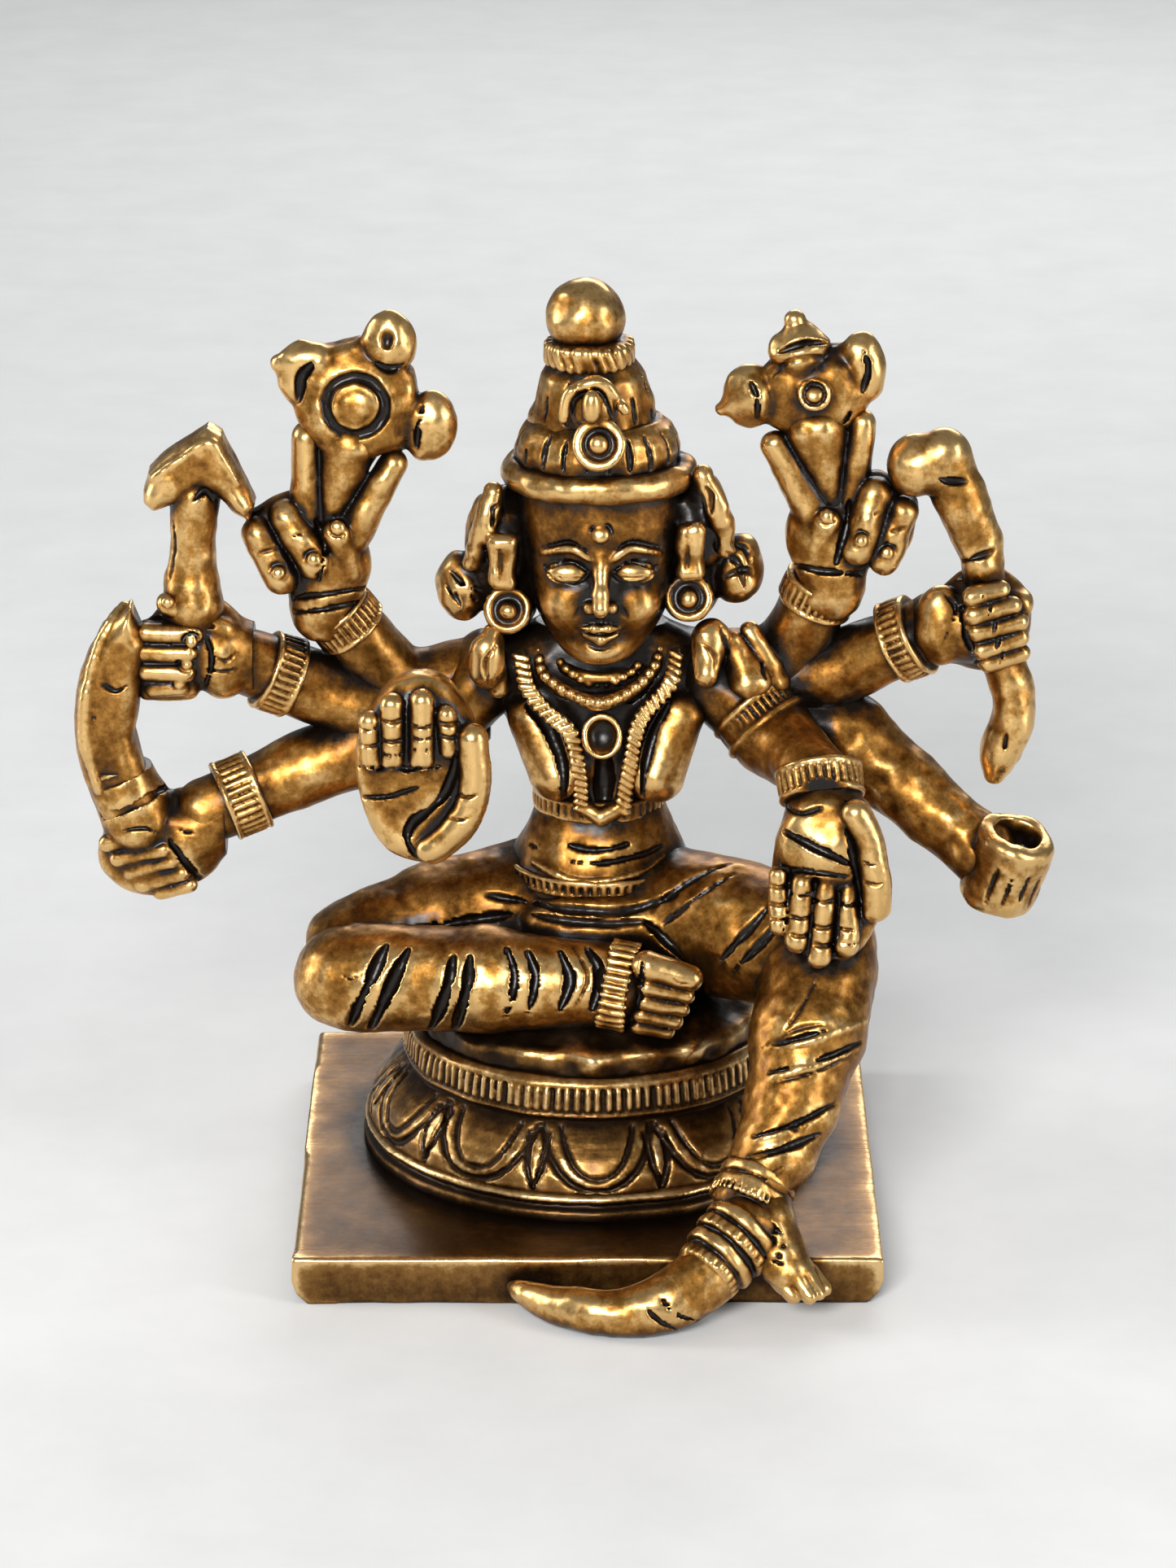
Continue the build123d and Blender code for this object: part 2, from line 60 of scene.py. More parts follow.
import zlib
from math import cos, pi, radians, sin

import bpy
import numpy as np
import openvdb
from mathutils import Vector

MM = 0.001
CELL = 0.15  # millimetres between samples of a distance field
FAR = 9.0  # distance that a field holds where nothing has been sampled
REACH = 1.2  # how far outside a shape its field is worked out, millimetres
SEARCH = 8.0  # how far either side of a drawn line its surface is looked for, millimetres
SEARCH_STEPS = 400
HAND_MADE = 0.05  # how uneven the modeller left a smooth surface, millimetres


# ---------------------------------------------------------------- distance fields
class Shape:
    """A solid given by its box and a function from coordinates to the distance from its surface."""

    def __init__(self, low, high, distance):
        self.low, self.high, self.distance = np.array(low, float), np.array(high, float), distance


def unit(v):
    v = np.array(v, float)
    return v / np.linalg.norm(v)


def axes_of(out, up=(0, 0, 1)):
    """Three unit directions: across, up and out, with out kept as given."""
    out = unit(out)
    across = unit(np.cross(up, out))
    return np.array([across, np.cross(out, across), out])


def outward(turn):
    """The level direction at an angle round Z."""
    return np.array([cos(turn), sin(turn), 0])


def spoke(axes, turn):
    """The direction at an angle in the plane of the first two axes."""
    return axes[0] * cos(turn) + axes[1] * sin(turn)


def round_turns(count):
    """Angles in count even steps round a circle."""
    return np.arange(count) * 2 * pi / count


def line(depth, *places):
    """Points at one depth from their (across, up) places."""
    return [(across, depth, up) for across, up in places]


def turned(x, y, z, at, axes):
    """Coordinates along axes from the point at."""
    px, py, pz = x - at[0], y - at[1], z - at[2]
    return [px * a[0] + py * a[1] + pz * a[2] for a in axes]


WORLD = np.eye(3)


def ball(at, radius):
    at = np.array(at, float)

    def distance(x, y, z):
        return np.sqrt((x - at[0]) ** 2 + (y - at[1]) ** 2 + (z - at[2]) ** 2) - radius

    return Shape(at - radius, at + radius, distance)


def egg(at, half, axes=WORLD):
    """An ellipsoid with its half sizes along axes."""
    at, half = np.array(at, float), np.array(half, float)

    def distance(x, y, z):
        u, v, w = turned(x, y, z, at, axes)
        near = np.sqrt((u / half[0]) ** 2 + (v / half[1]) ** 2 + (w / half[2]) ** 2) + 1e-6
        slope = np.sqrt((u / half[0] ** 2) ** 2 + (v / half[1] ** 2) ** 2 + (w / half[2] ** 2) ** 2) + 1e-6
        return near * (near - 1) / slope

    reach = np.abs(np.array(axes).T * half).sum(axis=1)
    return Shape(at - reach, at + reach, distance)


def bone(start, end, low, high=None):
    """A round rod from start to end, with ball ends, that tapers from radius low to high."""
    start, end = np.array(start, float), np.array(end, float)
    high = low if high is None else high
    run = end - start
    length = run @ run + 1e-9

    def distance(x, y, z):
        px, py, pz = x - start[0], y - start[1], z - start[2]
        share = np.clip((px * run[0] + py * run[1] + pz * run[2]) / length, 0, 1)
        gap = (px - run[0] * share) ** 2 + (py - run[1] * share) ** 2 + (pz - run[2] * share) ** 2
        return np.sqrt(gap) - (low + (high - low) * share)

    wide = max(low, high)
    return Shape(np.minimum(start, end) - wide, np.maximum(start, end) + wide, distance)


def rope(points, radii):
    """Rods end to end through points."""
    radii = [radii] * len(points) if np.isscalar(radii) else radii
    return [bone(*run) for run in zip(points[:-1], points[1:], radii[:-1], radii[1:])]


def block(at, half, axes=WORLD, edge=0.3):
    """A box with rounded edges."""
    at, half = np.array(at, float), np.array(half, float)

    def distance(x, y, z):
        q = [np.abs(c) - (h - edge) for c, h in zip(turned(x, y, z, at, axes), half)]
        outside = sum(np.maximum(c, 0) ** 2 for c in q)
        return np.sqrt(outside) + np.minimum(np.maximum(np.maximum(q[0], q[1]), q[2]), 0) - edge

    reach = np.abs(np.array(axes).T * half).sum(axis=1)
    return Shape(at - reach, at + reach, distance)


def drum(at, radius, half, axes=WORLD, edge=0.2, squash=1.0):
    """A short round or oval cylinder along the third of axes, with rounded edges."""
    at = np.array(at, float)

    def distance(x, y, z):
        u, v, w = turned(x, y, z, at, axes)
        around = np.sqrt(u**2 + (v / squash) ** 2) - (radius - edge)
        along = np.abs(w) - (half - edge)
        outside = np.sqrt(np.maximum(around, 0) ** 2 + np.maximum(along, 0) ** 2)
        return outside + np.minimum(np.maximum(around, along), 0) - edge

    reach = np.abs(np.array(axes).T * np.array([radius, radius * max(squash, 1), half])).sum(axis=1)
    return Shape(at - reach, at + reach, distance)


def hoop(at, wide, deep, radius, axes=WORLD, tall=None):
    """An oval ring round the third of axes; tall, if given, is its half height."""
    at = np.array(at, float)
    tall = radius if tall is None else tall

    def distance(x, y, z):
        u, v, w = turned(x, y, z, at, axes)
        near = np.sqrt((u / wide) ** 2 + (v / deep) ** 2) + 1e-6
        slope = np.sqrt((u / wide**2) ** 2 + (v / deep**2) ** 2) / near + 1e-6
        away = (near - 1) / slope
        return (np.sqrt(away**2 + (w * radius / tall) ** 2) - radius) * min(1.0, tall / radius)

    reach = np.abs(np.array(axes).T * np.array([wide + radius, deep + radius, tall])).sum(axis=1)
    return Shape(at - reach, at + reach, distance)


def outline(points, half, edge):
    """A plate that faces front, from its (across, up) corners and half its thickness."""
    axes = axes_of((0, -1, 0))
    at, points = np.zeros(3), np.array(points, float)

    def distance(x, y, z):
        u, v, w = turned(x, y, z, at, axes)
        near = np.full(np.broadcast_shapes(u.shape, v.shape), 1e6, np.float32)
        inside = np.ones(near.shape, np.float32)
        for (ax, ay), (bx, by) in zip(points, np.roll(points, 1, axis=0)):
            ex, ey = bx - ax, by - ay
            share = np.clip(((u - ax) * ex + (v - ay) * ey) / (ex**2 + ey**2), 0, 1)
            near = np.minimum(near, (u - ax - ex * share) ** 2 + (v - ay - ey * share) ** 2)
            above, below, left = v >= ay, v < by, ex * (v - ay) > ey * (u - ax)
            flips = (above & below & left) | (~above & ~below & ~left)
            inside = np.where(flips, -inside, inside)
        around = inside * np.sqrt(near) + edge
        along = np.abs(w) - (half - edge)
        outside = np.sqrt(np.maximum(around, 0) ** 2 + np.maximum(along, 0) ** 2)
        return outside + np.minimum(np.maximum(around, along), 0) - edge

    size = np.array([np.abs(points[:, 0]).max(), np.abs(points[:, 1]).max(), half])
    reach = np.abs(np.array(axes).T * size).sum(axis=1)
    return Shape(at - reach, at + reach, distance)


def lathe(profile, squash=1.0):
    """A body turned about Z from (height, radius) pairs, oval where squash (depth over width) isn't 1."""
    at = np.zeros(3)
    heights, widths = (np.array(column, np.float32) for column in zip(*profile))

    def distance(x, y, z):
        px, py, pz = x - at[0], (y - at[1]) / squash, z - at[2]
        width = np.interp(pz, heights, widths).astype(np.float32)
        around = (np.sqrt(px**2 + py**2) - width) * 0.9
        along = np.maximum(heights[0] - pz, pz - heights[-1])
        return np.maximum(around, along)

    wide = np.array([widths.max(), widths.max() * squash, 0])
    low, high = np.array([0, 0, heights[0]]), np.array([0, 0, heights[-1]])
    return Shape(at + low - wide, at + high + wide, distance)


def oval_loft(levels):
    """A smooth body through level ovals: (height, middle x, middle y, half width, half depth)."""
    rows = np.array(levels, float)
    fine = np.linspace(rows[0, 0], rows[-1, 0], 80)
    table = np.array([fine] + [smooth_interp(fine, rows[:, 0], rows[:, i]) for i in range(1, 5)])

    def distance(x, y, z):
        cx, cy, wide, deep = (np.interp(z, table[0], row).astype(np.float32) for row in table[1:])
        u, v = x - cx, y - cy
        near = np.sqrt((u / wide) ** 2 + (v / deep) ** 2) + 1e-6
        slope = np.sqrt((u / wide**2) ** 2 + (v / deep**2) ** 2) / near + 1e-6
        around = (near - 1) / slope * 0.9
        return np.maximum(around, np.maximum(table[0][0] - z, z - table[0][-1]))

    low = [(table[1] - table[3]).min(), (table[2] - table[4]).min(), table[0][0]]
    high = [(table[1] + table[3]).max(), (table[2] + table[4]).max(), table[0][-1]]
    return Shape(low, high, distance)


def smooth_interp(at, xs, ys):
    """Values between knots on a cubic curve whose slope at each knot comes from its neighbours."""
    slopes = np.gradient(ys, xs)
    i = np.clip(np.searchsorted(xs, at) - 1, 0, len(xs) - 2)
    step = xs[i + 1] - xs[i]
    t = (at - xs[i]) / step
    start = ys[i] * (1 + 2 * t) * (1 - t) ** 2 + slopes[i] * step * t * (1 - t) ** 2
    end = ys[i + 1] * t**2 * (3 - 2 * t) + slopes[i + 1] * step * t**2 * (t - 1)
    return start + end


def soft_min(a, b, blend):
    """The lower of two fields, with the crease between them filled over blend millimetres."""
    if blend <= 0:
        return np.minimum(a, b)
    crease = np.maximum(blend - np.abs(a - b), 0) / blend
    return np.minimum(a, b) - crease**2 * blend / 4


VIEW = unit((0, -0.94, 0.342))  # towards a viewer who looks down by 20 degrees


def smooth_path(points, steps=6):
    """Points along a smooth curve through points."""
    points = np.atleast_2d(np.array(points, float))
    if len(points) < 3:
        return np.array([points[0] + (points[-1] - points[0]) * t for t in np.linspace(0, 1, steps + 1)])
    rows = np.vstack([2 * points[0] - points[1], points, 2 * points[-1] - points[-2]])
    path = []
    for a, b, c, d in zip(rows, rows[1:], rows[2:], rows[3:]):
        for t in np.arange(steps) / steps:
            square = (2 * a - 5 * b + 4 * c - d) * t**2
            cube = (3 * b - a - 3 * c + d) * t**3
            path.append(b + ((c - a) * t + square + cube) / 2)
    return np.array(path + [points[-1]])


def spaced(path, gap):
    """Points along path, gap apart, and the path's direction at each."""
    steps = np.linalg.norm(np.diff(path, axis=0), axis=1)
    along = np.concatenate([[0], np.cumsum(steps)])
    spots = np.linspace(0, along[-1], max(int(along[-1] / gap), 1) + 1)
    points = np.array([np.interp(spots, along, path[:, i]) for i in range(3)]).T
    ahead = np.gradient(points, axis=0)
    return points, ahead / (np.linalg.norm(ahead, axis=1)[:, None] + 1e-9)


class Clay:
    """A grid of distances round one CAD node, in millimetres from the middle of the node's box."""

    def __init__(self, node, grow=1.6, cell=None):
        low, high = (np.array(corner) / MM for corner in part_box(node))
        self.node, self.middle, self.half = node, (low + high) / 2, (high - low) / 2
        self.cell = CELL if cell is None else max(cell, CELL)
        self.low = -(self.half + grow)
        self.count = np.ceil(2 * (self.half + grow) / self.cell).astype(int) + 1
        self.field = np.full(self.count, FAR, np.float32)
        self.random = np.random.default_rng(zlib.crc32(node.encode()))

    def near(self, low, high):
        """The part of the grid inside a box: its place in the grid, and its coordinates."""
        first = np.clip(np.floor((np.array(low) - self.low) / self.cell).astype(int), 0, self.count - 1)
        last = np.clip(np.ceil((np.array(high) - self.low) / self.cell).astype(int) + 1, first + 1,
                       self.count)
        place = tuple(slice(a, b) for a, b in zip(first, last))
        lines = [self.low[i] + self.cell * np.arange(first[i], last[i]) for i in range(3)]
        return place, np.meshgrid(*(row.astype(np.float32) for row in lines), indexing="ij", sparse=True)

    def add(self, *shapes, blend=0.3):
        for shape in shapes:
            place, xyz = self.near(shape.low - REACH, shape.high + REACH)
            self.field[place] = soft_min(self.field[place], shape.distance(*xyz), blend)
        return self

    def cut(self, *shapes, blend=0.12):
        for shape in shapes:
            place, xyz = self.near(shape.low - REACH, shape.high + REACH)
            self.field[place] = -soft_min(-self.field[place], shape.distance(*xyz), blend)
        return self

    def push(self, offset):
        """Moves the surface in by offset(x, y, z) millimetres, or out where that is negative."""
        place, xyz = self.near(self.low, -self.low)
        self.field[place] = self.field[place] + offset(*xyz)
        return self

    def uneven(self, size, depth):
        """Pushes the surface in and out by up to depth, in lumps about size across."""
        knots = np.maximum(np.ceil(self.count * self.cell / size).astype(int) + 3, 4)
        lumps = self.random.uniform(-1, 1, knots)
        for axis in range(3):
            along = np.arange(self.count[axis]) * self.cell / size + 1
            base = np.floor(along).astype(int)
            t = (along - base)[:, None]
            t = t * t * (3 - 2 * t)
            rows = np.moveaxis(lumps, axis, 0)
            flat = rows.reshape(len(rows), -1)
            flat = flat[base] * (1 - t) + flat[base + 1] * t
            lumps = np.moveaxis(flat.reshape((len(along),) + rows.shape[1:]), 0, axis)
        self.field += (lumps * depth).astype(np.float32)
        return self

    def skin(self, points, out=VIEW):
        """Where lines through points, followed in from the side that out faces, first meet the surface."""
        points = np.atleast_2d(np.array(points, float))
        out = np.broadcast_to(np.array(out, float) / np.linalg.norm(out, axis=-1, keepdims=True),
                              points.shape)
        steps = np.linspace(SEARCH, -SEARCH, SEARCH_STEPS)
        spots = points[:, None] + out[:, None] * steps[None, :, None]
        values = sampled(self.field, self.low, self.cell, spots.reshape(-1, 3)).reshape(len(points), -1)
        first = np.argmax(values < 0, axis=1)
        met = (values < 0).any(axis=1)
        return np.where(met[:, None], spots[np.arange(len(points)), first], points), out

    def groove(self, points, wide=0.4, deep=0.3, out=VIEW, fade=True):
        """A groove drawn on the surface under a smooth line through points."""
        path, out = self.skin(smooth_path(points), out)
        swell = np.sin(np.linspace(0.25, pi - 0.25, len(path))) ** 0.6 if fade else np.ones(len(path))
        radii = wide / 2 * swell
        return self.cut(*rope(path + out * (radii - deep * swell)[:, None], radii), blend=0.08)

    def grooves(self, depth, *curves):
        """Grooves at one depth, each from its width, how deep it is cut and its (across, up) places."""
        for wide, deep, *places in curves:
            self.groove(line(depth, *places), wide, deep)
        return self

    def ridge(self, points, wide=0.5, high=0.25, out=VIEW, fade=False, blend=0.15):
        """A rounded rib raised on the surface along a smooth line through points."""
        path, out = self.skin(smooth_path(points), out)
        swell = np.sin(np.linspace(0.3, pi - 0.3, len(path))) ** 0.6 if fade else np.ones(len(path))
        radii = wide / 2 * swell
        return self.add(*rope(path + out * (high * swell - radii)[:, None], radii), blend=blend)

    def beads(self, points, radius, gap, high):
        """Beads along a smooth line through points."""
        spots, _ = spaced(smooth_path(points), gap)
        spots, out = self.skin(spots)
        return self.add(*[ball(p + o * (high - radius), radius) for p, o in zip(spots, out)], blend=0.05)

    def boss(self, point, radius, high, centre):
        """A round stud on the surface, dished round a domed centre."""
        (spot,), (out,) = self.skin([point])
        axes = axes_of(out)
        self.add(drum(spot, radius, high, axes, edge=0.25), blend=0.1)
        self.cut(drum(spot + out * high, radius * 0.72, high * 0.7, axes, edge=0.1), blend=0.05)
        return self.add(egg(spot + out * high * 0.4, (centre, centre, high * 0.9), axes), blend=0.05)

    def mesh(self):
        """The surface's points in millimetres in the CAD frame, and its faces."""
        grid = openvdb.FloatGrid(FAR)
        grid.copyFromArray(np.ascontiguousarray(self.field, np.float32))
        points, triangles, quads = grid.convertToPolygons(isovalue=0.0, adaptivity=0.0)
        faces = np.vstack([quads, np.column_stack([triangles, triangles[:, -1:]])]).astype(int)
        group = groups(len(points), faces)
        keep = group == np.bincount(group).argmax()
        faces = (np.cumsum(keep) - 1)[faces[keep[faces[:, 0]]]].tolist()
        points = points[keep] * self.cell + self.low + self.middle
        return points, [list(dict.fromkeys(face)) for face in faces]


def groups(count, faces):
    """A number for each of count points that is the same for all points joined by faces."""
    group = np.arange(count)
    while True:
        lower = group.copy()
        np.minimum.at(lower, faces.ravel(), np.repeat(group[faces].min(axis=1), faces.shape[1]))
        lower = lower[lower]
        if (lower == group).all():
            return group
        group = lower


def sampled(values, low, cell, points):
    """The grid's values at points, by trilinear interpolation."""
    spot = np.clip((points - low) / cell, 0, np.array(values.shape) - 1.001)
    base = spot.astype(int)
    part = spot - base
    total = np.zeros(len(points))
    for corner in np.ndindex(2, 2, 2):
        weight = np.prod(np.where(corner, part, 1 - part), axis=1)
        i, j, k = (base + corner).T
        total += weight * values[i, j, k]
    return total


def blurred(values, width):
    """Values averaged over a box width samples across, twice along each axis."""
    width = max(int(width) | 1, 3)
    for axis in (0, 1, 2, 0, 1, 2):
        padding = [(width // 2 + 1, width // 2) if a == axis else (0, 0) for a in range(3)]
        sums = np.cumsum(np.pad(values, padding, mode="edge"), axis=axis, dtype=np.float64)
        ahead, behind = [slice(None)] * 3, [slice(None)] * 3
        ahead[axis], behind[axis] = slice(width, None), slice(None, -width)
        values = ((sums[tuple(ahead)] - sums[tuple(behind)]) / width).astype(np.float32)
    return values


class Workshop:
    """Turns clay into Blender pieces, and works out how hollow or proud each point of the whole figure is."""

    ROOM_CELL = 0.35  # samples of the whole figure's solid share, millimetres apart
    MARGIN = 3  # air kept round the figure, millimetres
    PROUD = 0.13  # mean distance round a point that counts as fully proud, millimetres
    FINE, BROAD, WIDE = 0.45, 1.1, 2.6  # how far round a point each measure looks, millimetres

    def __init__(self):
        low, high = (np.array(corner) / MM for corner in CAD_BOUNDS)
        self.low = low - self.MARGIN
        self.room = np.zeros(np.ceil((high - low + 2 * self.MARGIN) / self.ROOM_CELL).astype(int), np.float32)
        self.made = []

    def fill(self, clay):
        """Marks the clay as solid in the room that holds the whole figure."""
        start = clay.low + clay.middle
        first = np.ceil((start - self.low) / self.ROOM_CELL).astype(int)
        last = np.floor((start + clay.cell * (clay.count - 1) - self.low) / self.ROOM_CELL).astype(int)
        first, last = np.maximum(first, 0), np.minimum(last, np.array(self.room.shape) - 1)
        lines = []
        for axis in range(3):
            spots = self.low[axis] + self.ROOM_CELL * np.arange(first[axis], last[axis] + 1)
            steps = np.rint((spots - start[axis]) / clay.cell).astype(int)
            lines.append(np.clip(steps, 0, clay.count[axis] - 1))
        solid = np.clip(0.5 - clay.field[np.ix_(*lines)] / self.ROOM_CELL, 0, 1)
        place = tuple(slice(a, b + 1) for a, b in zip(first, last))
        self.room[place] = np.maximum(self.room[place], solid)

    def make(self, clay, slot, *nodes, material=None):
        """Keeps a finished piece: its mesh, and how far each point stands proud in the piece's own field."""
        points, faces = clay.mesh()
        near = np.clip(clay.field, -0.5, 0.5)
        fine = blurred(near, 2 * self.FINE / clay.cell)
        relief = sampled(fine, clay.low + clay.middle, clay.cell, points) / self.PROUD
        self.fill(clay)
        self.made.append((clay.node, points, faces, relief, slot, nodes or (clay.node,), material))

    def open_up(self):
        """Makes the Blender objects, with how proud each point stands stored for the materials."""
        broad = blurred(self.room, 2 * self.BROAD / self.ROOM_CELL)
        wide = blurred(self.room, 2 * self.WIDE / self.ROOM_CELL)
        for name, points, faces, relief, slot, nodes, material in self.made:
            data = bpy.data.meshes.new(f"{name}_mesh")
            data.from_pydata((points * MM).tolist(), [], faces)
            data.polygons.foreach_set("use_smooth", np.ones(len(faces), bool))
            for label, values in (
                ("fine", relief),
                ("broad", 1 - 2 * sampled(broad, self.low, self.ROOM_CELL, points)),
                ("wide", 1 - 2 * sampled(wide, self.low, self.ROOM_CELL, points)),
            ):
                stored = data.attributes.new(label, "FLOAT", "POINT").data
                stored.foreach_set("value", values.astype(np.float32))
            data.materials.append(material)
            piece = bpy.data.objects.new(f"{name}_cast", data)
            bpy.context.scene.collection.objects.link(piece)
            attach(piece, "root")
            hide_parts(*nodes)


# ---------------------------------------------------------------- materials
def link(tree, start, end):
    tree.links.new(start, end)


def node(tree, kind, **values):
    """A new shader node with its properties, and its inputs by name."""
    made = tree.nodes.new(kind)
    for label, value in values.items():
        if hasattr(made, label):
            setattr(made, label, value)
        else:
            made.inputs[label.replace("_", " ")].default_value = value
    return made


def ramp(tree, source, *stops):
    """A colour ramp over source, with (place, colour) stops."""
    made = node(tree, "ShaderNodeValToRGB")
    made.color_ramp.elements.remove(made.color_ramp.elements[1])
    for i, (place, colour) in enumerate(stops):
        stop = made.color_ramp.elements[0] if i == 0 else made.color_ramp.elements.new(place)
        stop.position = place
        stop.color = (*colour, 1) if len(colour) == 3 else (colour[0],) * 3 + (1,)
    link(tree, source, made.inputs["Fac"])
    return made.outputs["Color"]


def maths(tree, operation, first, second, clamp=False):
    made = node(tree, "ShaderNodeMath", operation=operation, use_clamp=clamp)
    for socket, value in zip(made.inputs, (first, second)):
        if isinstance(value, (int, float)):
            socket.default_value = value
        else:
            link(tree, value, socket)
    return made.outputs[0]


def weighed(tree, *terms):
    """The sum of share times (source less middle) over (source, middle, share) terms."""
    total = 0.0
    for source, middle, share in terms:
        part = maths(tree, "MULTIPLY", maths(tree, "SUBTRACT", source, middle), share)
        total = maths(tree, "ADD", total, part)
    return total


def noise(tree, place, scale, detail=4.0, roughness=0.6, stretch=None):
    """Noise with scale lumps to a metre, over the object's own coordinates."""
    if stretch:
        mapping = node(tree, "ShaderNodeMapping")
        mapping.inputs["Scale"].default_value = stretch
        mapping.inputs["Rotation"].default_value = (0.3, 0.5, 0.7)
        link(tree, place, mapping.inputs["Vector"])
        place = mapping.outputs["Vector"]
    made = node(tree, "ShaderNodeTexNoise", Scale=scale, Detail=detail, Roughness=roughness)
    link(tree, place, made.inputs["Vector"])
    return made.outputs["Fac"]


def attribute(tree, label):
    return node(tree, "ShaderNodeAttribute", attribute_name=label).outputs["Fac"]


FLAT_WEAR = 0.2  # how worn a surface is that is neither hollow nor proud, from 0 to 1


def antique_brass(name, dark, amber, gold, worn, dirt=1.0, facets=0.12, brushed=0.0, bare=0.25):
    """Cast brass under a dark lacquer that handling has worn off everything that stands proud.

    The colours go from the hollows to the ridges; by the floor the dark end is painted shade as well. dirt is
    how patchy the lacquer is, facets and brushed are how strong the tool marks and scratches are, and bare is
    how metallic the hollows look.
    """
    material = bpy.data.materials.new(name)
    material.use_nodes = True
    tree = material.node_tree
    shader = tree.nodes["Principled BSDF"]
    place = node(tree, "ShaderNodeTexCoord").outputs["Object"]

    fine, broad, wide = (attribute(tree, label) for label in ("fine", "broad", "wide"))
    # ambient occlusion over every object in the scene: it darkens the lacquer in the figure's hollows and in
    # the creases between its parts, which is the cast's patina, and it also paints shade on the base and the
    # footrest where the floor comes within 2.2 mm
    hollows_and_floor_shade = node(tree, "ShaderNodeAmbientOcclusion", samples=8, Distance=2.2 * MM).outputs["AO"]
    patches = noise(tree, place, 260, 5.0, 0.62)
    specks = noise(tree, place, 1700, 3.0, 0.7)
    streaks = noise(tree, place, 900, 3.0, 0.6, stretch=(1, 1, 0.14))

    proud = weighed(
        tree, (fine, 0, 0.55), (broad, 0, 0.55), (patches, 0.5, 0.95 * dirt), (specks, 0.5, 0.75 * dirt),
        (hollows_and_floor_shade, 0.82, 1.15), (wide, 0.1, 0.35))
    # the lacquer's wear from hollows to ridges, with painted shade near the floor mixed in
    wear_and_floor_shade = maths(tree, "ADD", proud, FLAT_WEAR, clamp=True)

    colour = ramp(tree, wear_and_floor_shade, (0.06, dark), (0.22, tuple(c * 0.35 for c in amber)), (0.45, amber),
                  (0.72, gold), (0.97, worn))
    tint = ramp(tree, streaks, (0.3, (0.78, 0.72, 0.62)), (0.6, (1.0, 1.0, 1.0)))
    shade = node(tree, "ShaderNodeMix", data_type="RGBA", blend_type="MULTIPLY")
    shade.inputs[0].default_value = 0.8
    link(tree, colour, shade.inputs[6])
    link(tree, tint, shade.inputs[7])
    link(tree, shade.outputs[2], shader.inputs["Base Color"])
    link(tree, ramp(tree, wear_and_floor_shade, (0.08, (bare,)), (0.3, (1.0,))), shader.inputs["Metallic"])
    rough = ramp(tree, wear_and_floor_shade, (0.05, (0.26 + bare * 0.2,)), (0.25, (0.44,)), (0.6, (0.4,)), (1.0, (0.3,)))
    rough = maths(tree, "ADD", rough, weighed(tree, (specks, 0.5, 0.3)), clamp=True)
    link(tree, rough, shader.inputs["Roughness"])
    shader.inputs["Specular IOR Level"].default_value = 0.3
    shader.inputs["Coat Weight"].default_value = 0.1
    shader.inputs["Coat Roughness"].default_value = 0.18

    cells = node(tree, "ShaderNodeTexVoronoi", feature="SMOOTH_F1", Scale=620.0, Smoothness=0.35)
    link(tree, place, cells.inputs["Vector"])
    scratches = noise(tree, place, 1500, 2.0, 0.5, stretch=(0.12, 1, 1))
    height = weighed(tree, (cells.outputs["Distance"], 0, facets), (specks, 0, 0.14),
                     (scratches, 0, 0.1 + brushed), (patches, 0, 0.25))
    bump = node(tree, "ShaderNodeBump", Strength=0.5, Distance=0.22 * MM)
    link(tree, height, bump.inputs["Height"])
    link(tree, bump.outputs["Normal"], shader.inputs["Normal"])
    return material


# the figure's darkest colour: the dark lacquer in its hollows, and painted shade where the floor comes near
# the footrest
LACQUER_AND_FLOOR_SHADE = (0.006, 0.0032, 0.0016)
FIGURE = antique_brass("antique_brass", LACQUER_AND_FLOOR_SHADE, (0.19, 0.078, 0.013), (0.40, 0.195, 0.042),
                       (0.72, 0.46, 0.18))
# the base's darkest colour is the lacquer in its hollows and also painted shade along its foot by the floor
PLINTH = antique_brass("brushed_brass", (0.02, 0.01, 0.004), (0.13, 0.062, 0.017), (0.28, 0.145, 0.04),
                       (0.74, 0.50, 0.23), dirt=0.7, facets=0.06, brushed=0.25, bare=0.9)

shop = Workshop()


def cast(clay):
    """Hands a finished piece of the figure to the workshop."""
    shop.make(clay, "figure_brass", material=FIGURE)


def base(clay):
    """Hands a finished piece of the base to the workshop."""
    shop.make(clay, "plinth_brass", material=PLINTH)


# ---------------------------------------------------------------- parts that come in numbers
def arm(name, points, radii, lumps=0.2):
    """A limb with slightly lumpy, hand-worked flesh."""
    clay = Clay(name, grow=1.4).add(*rope(points, radii), blend=0.9)
    return clay.uneven(2.6, lumps).uneven(0.9, HAND_MADE)


def bangle(name, along, half, radius, ribs=30, at=(0, 0, 0)):
    """A ribbed cuff between two plain rims."""
    clay, axes = Clay(name), axes_of(along, (0, 1, 0.3))
    at = np.array(at, float)
    clay.add(drum(at, radius - 0.3, half, axes, edge=0.35))
    for turn in round_turns(ribs):
        spot = at + spoke(axes, turn) * (radius - 0.32)
        reach = axes[2] * (half - 0.72)
        clay.add(bone(spot - reach, spot + reach, 0.27), blend=0.05)
    for side in (-1, 1):
        clay.add(hoop(at + axes[2] * side * (half - 0.26), radius - 0.28, radius - 0.28, 0.26, axes),
                 blend=0.12)
    cast(clay.uneven(1.6, 0.1))


def nail(clay, at, radius=0.62):
    """A round nail at a fingertip: a low dome in a ring-shaped groove."""
    (spot,), (out,) = clay.skin([at])
    axes = axes_of(out)
    clay.cut(hoop(spot, radius, radius, 0.16, axes), blend=0.05)
    clay.add(egg(spot - out * 0.1, (radius * 0.8, radius * 0.8, 0.38), axes), blend=0.05)


def joint_line(clay, at, half):
    """A short line across a finger."""
    x, y, z = at
    clay.groove([(x - half, y, z + 0.1), (x, y, z - 0.06), (x + half, y, z + 0.1)], 0.24, 0.2, fade=False)


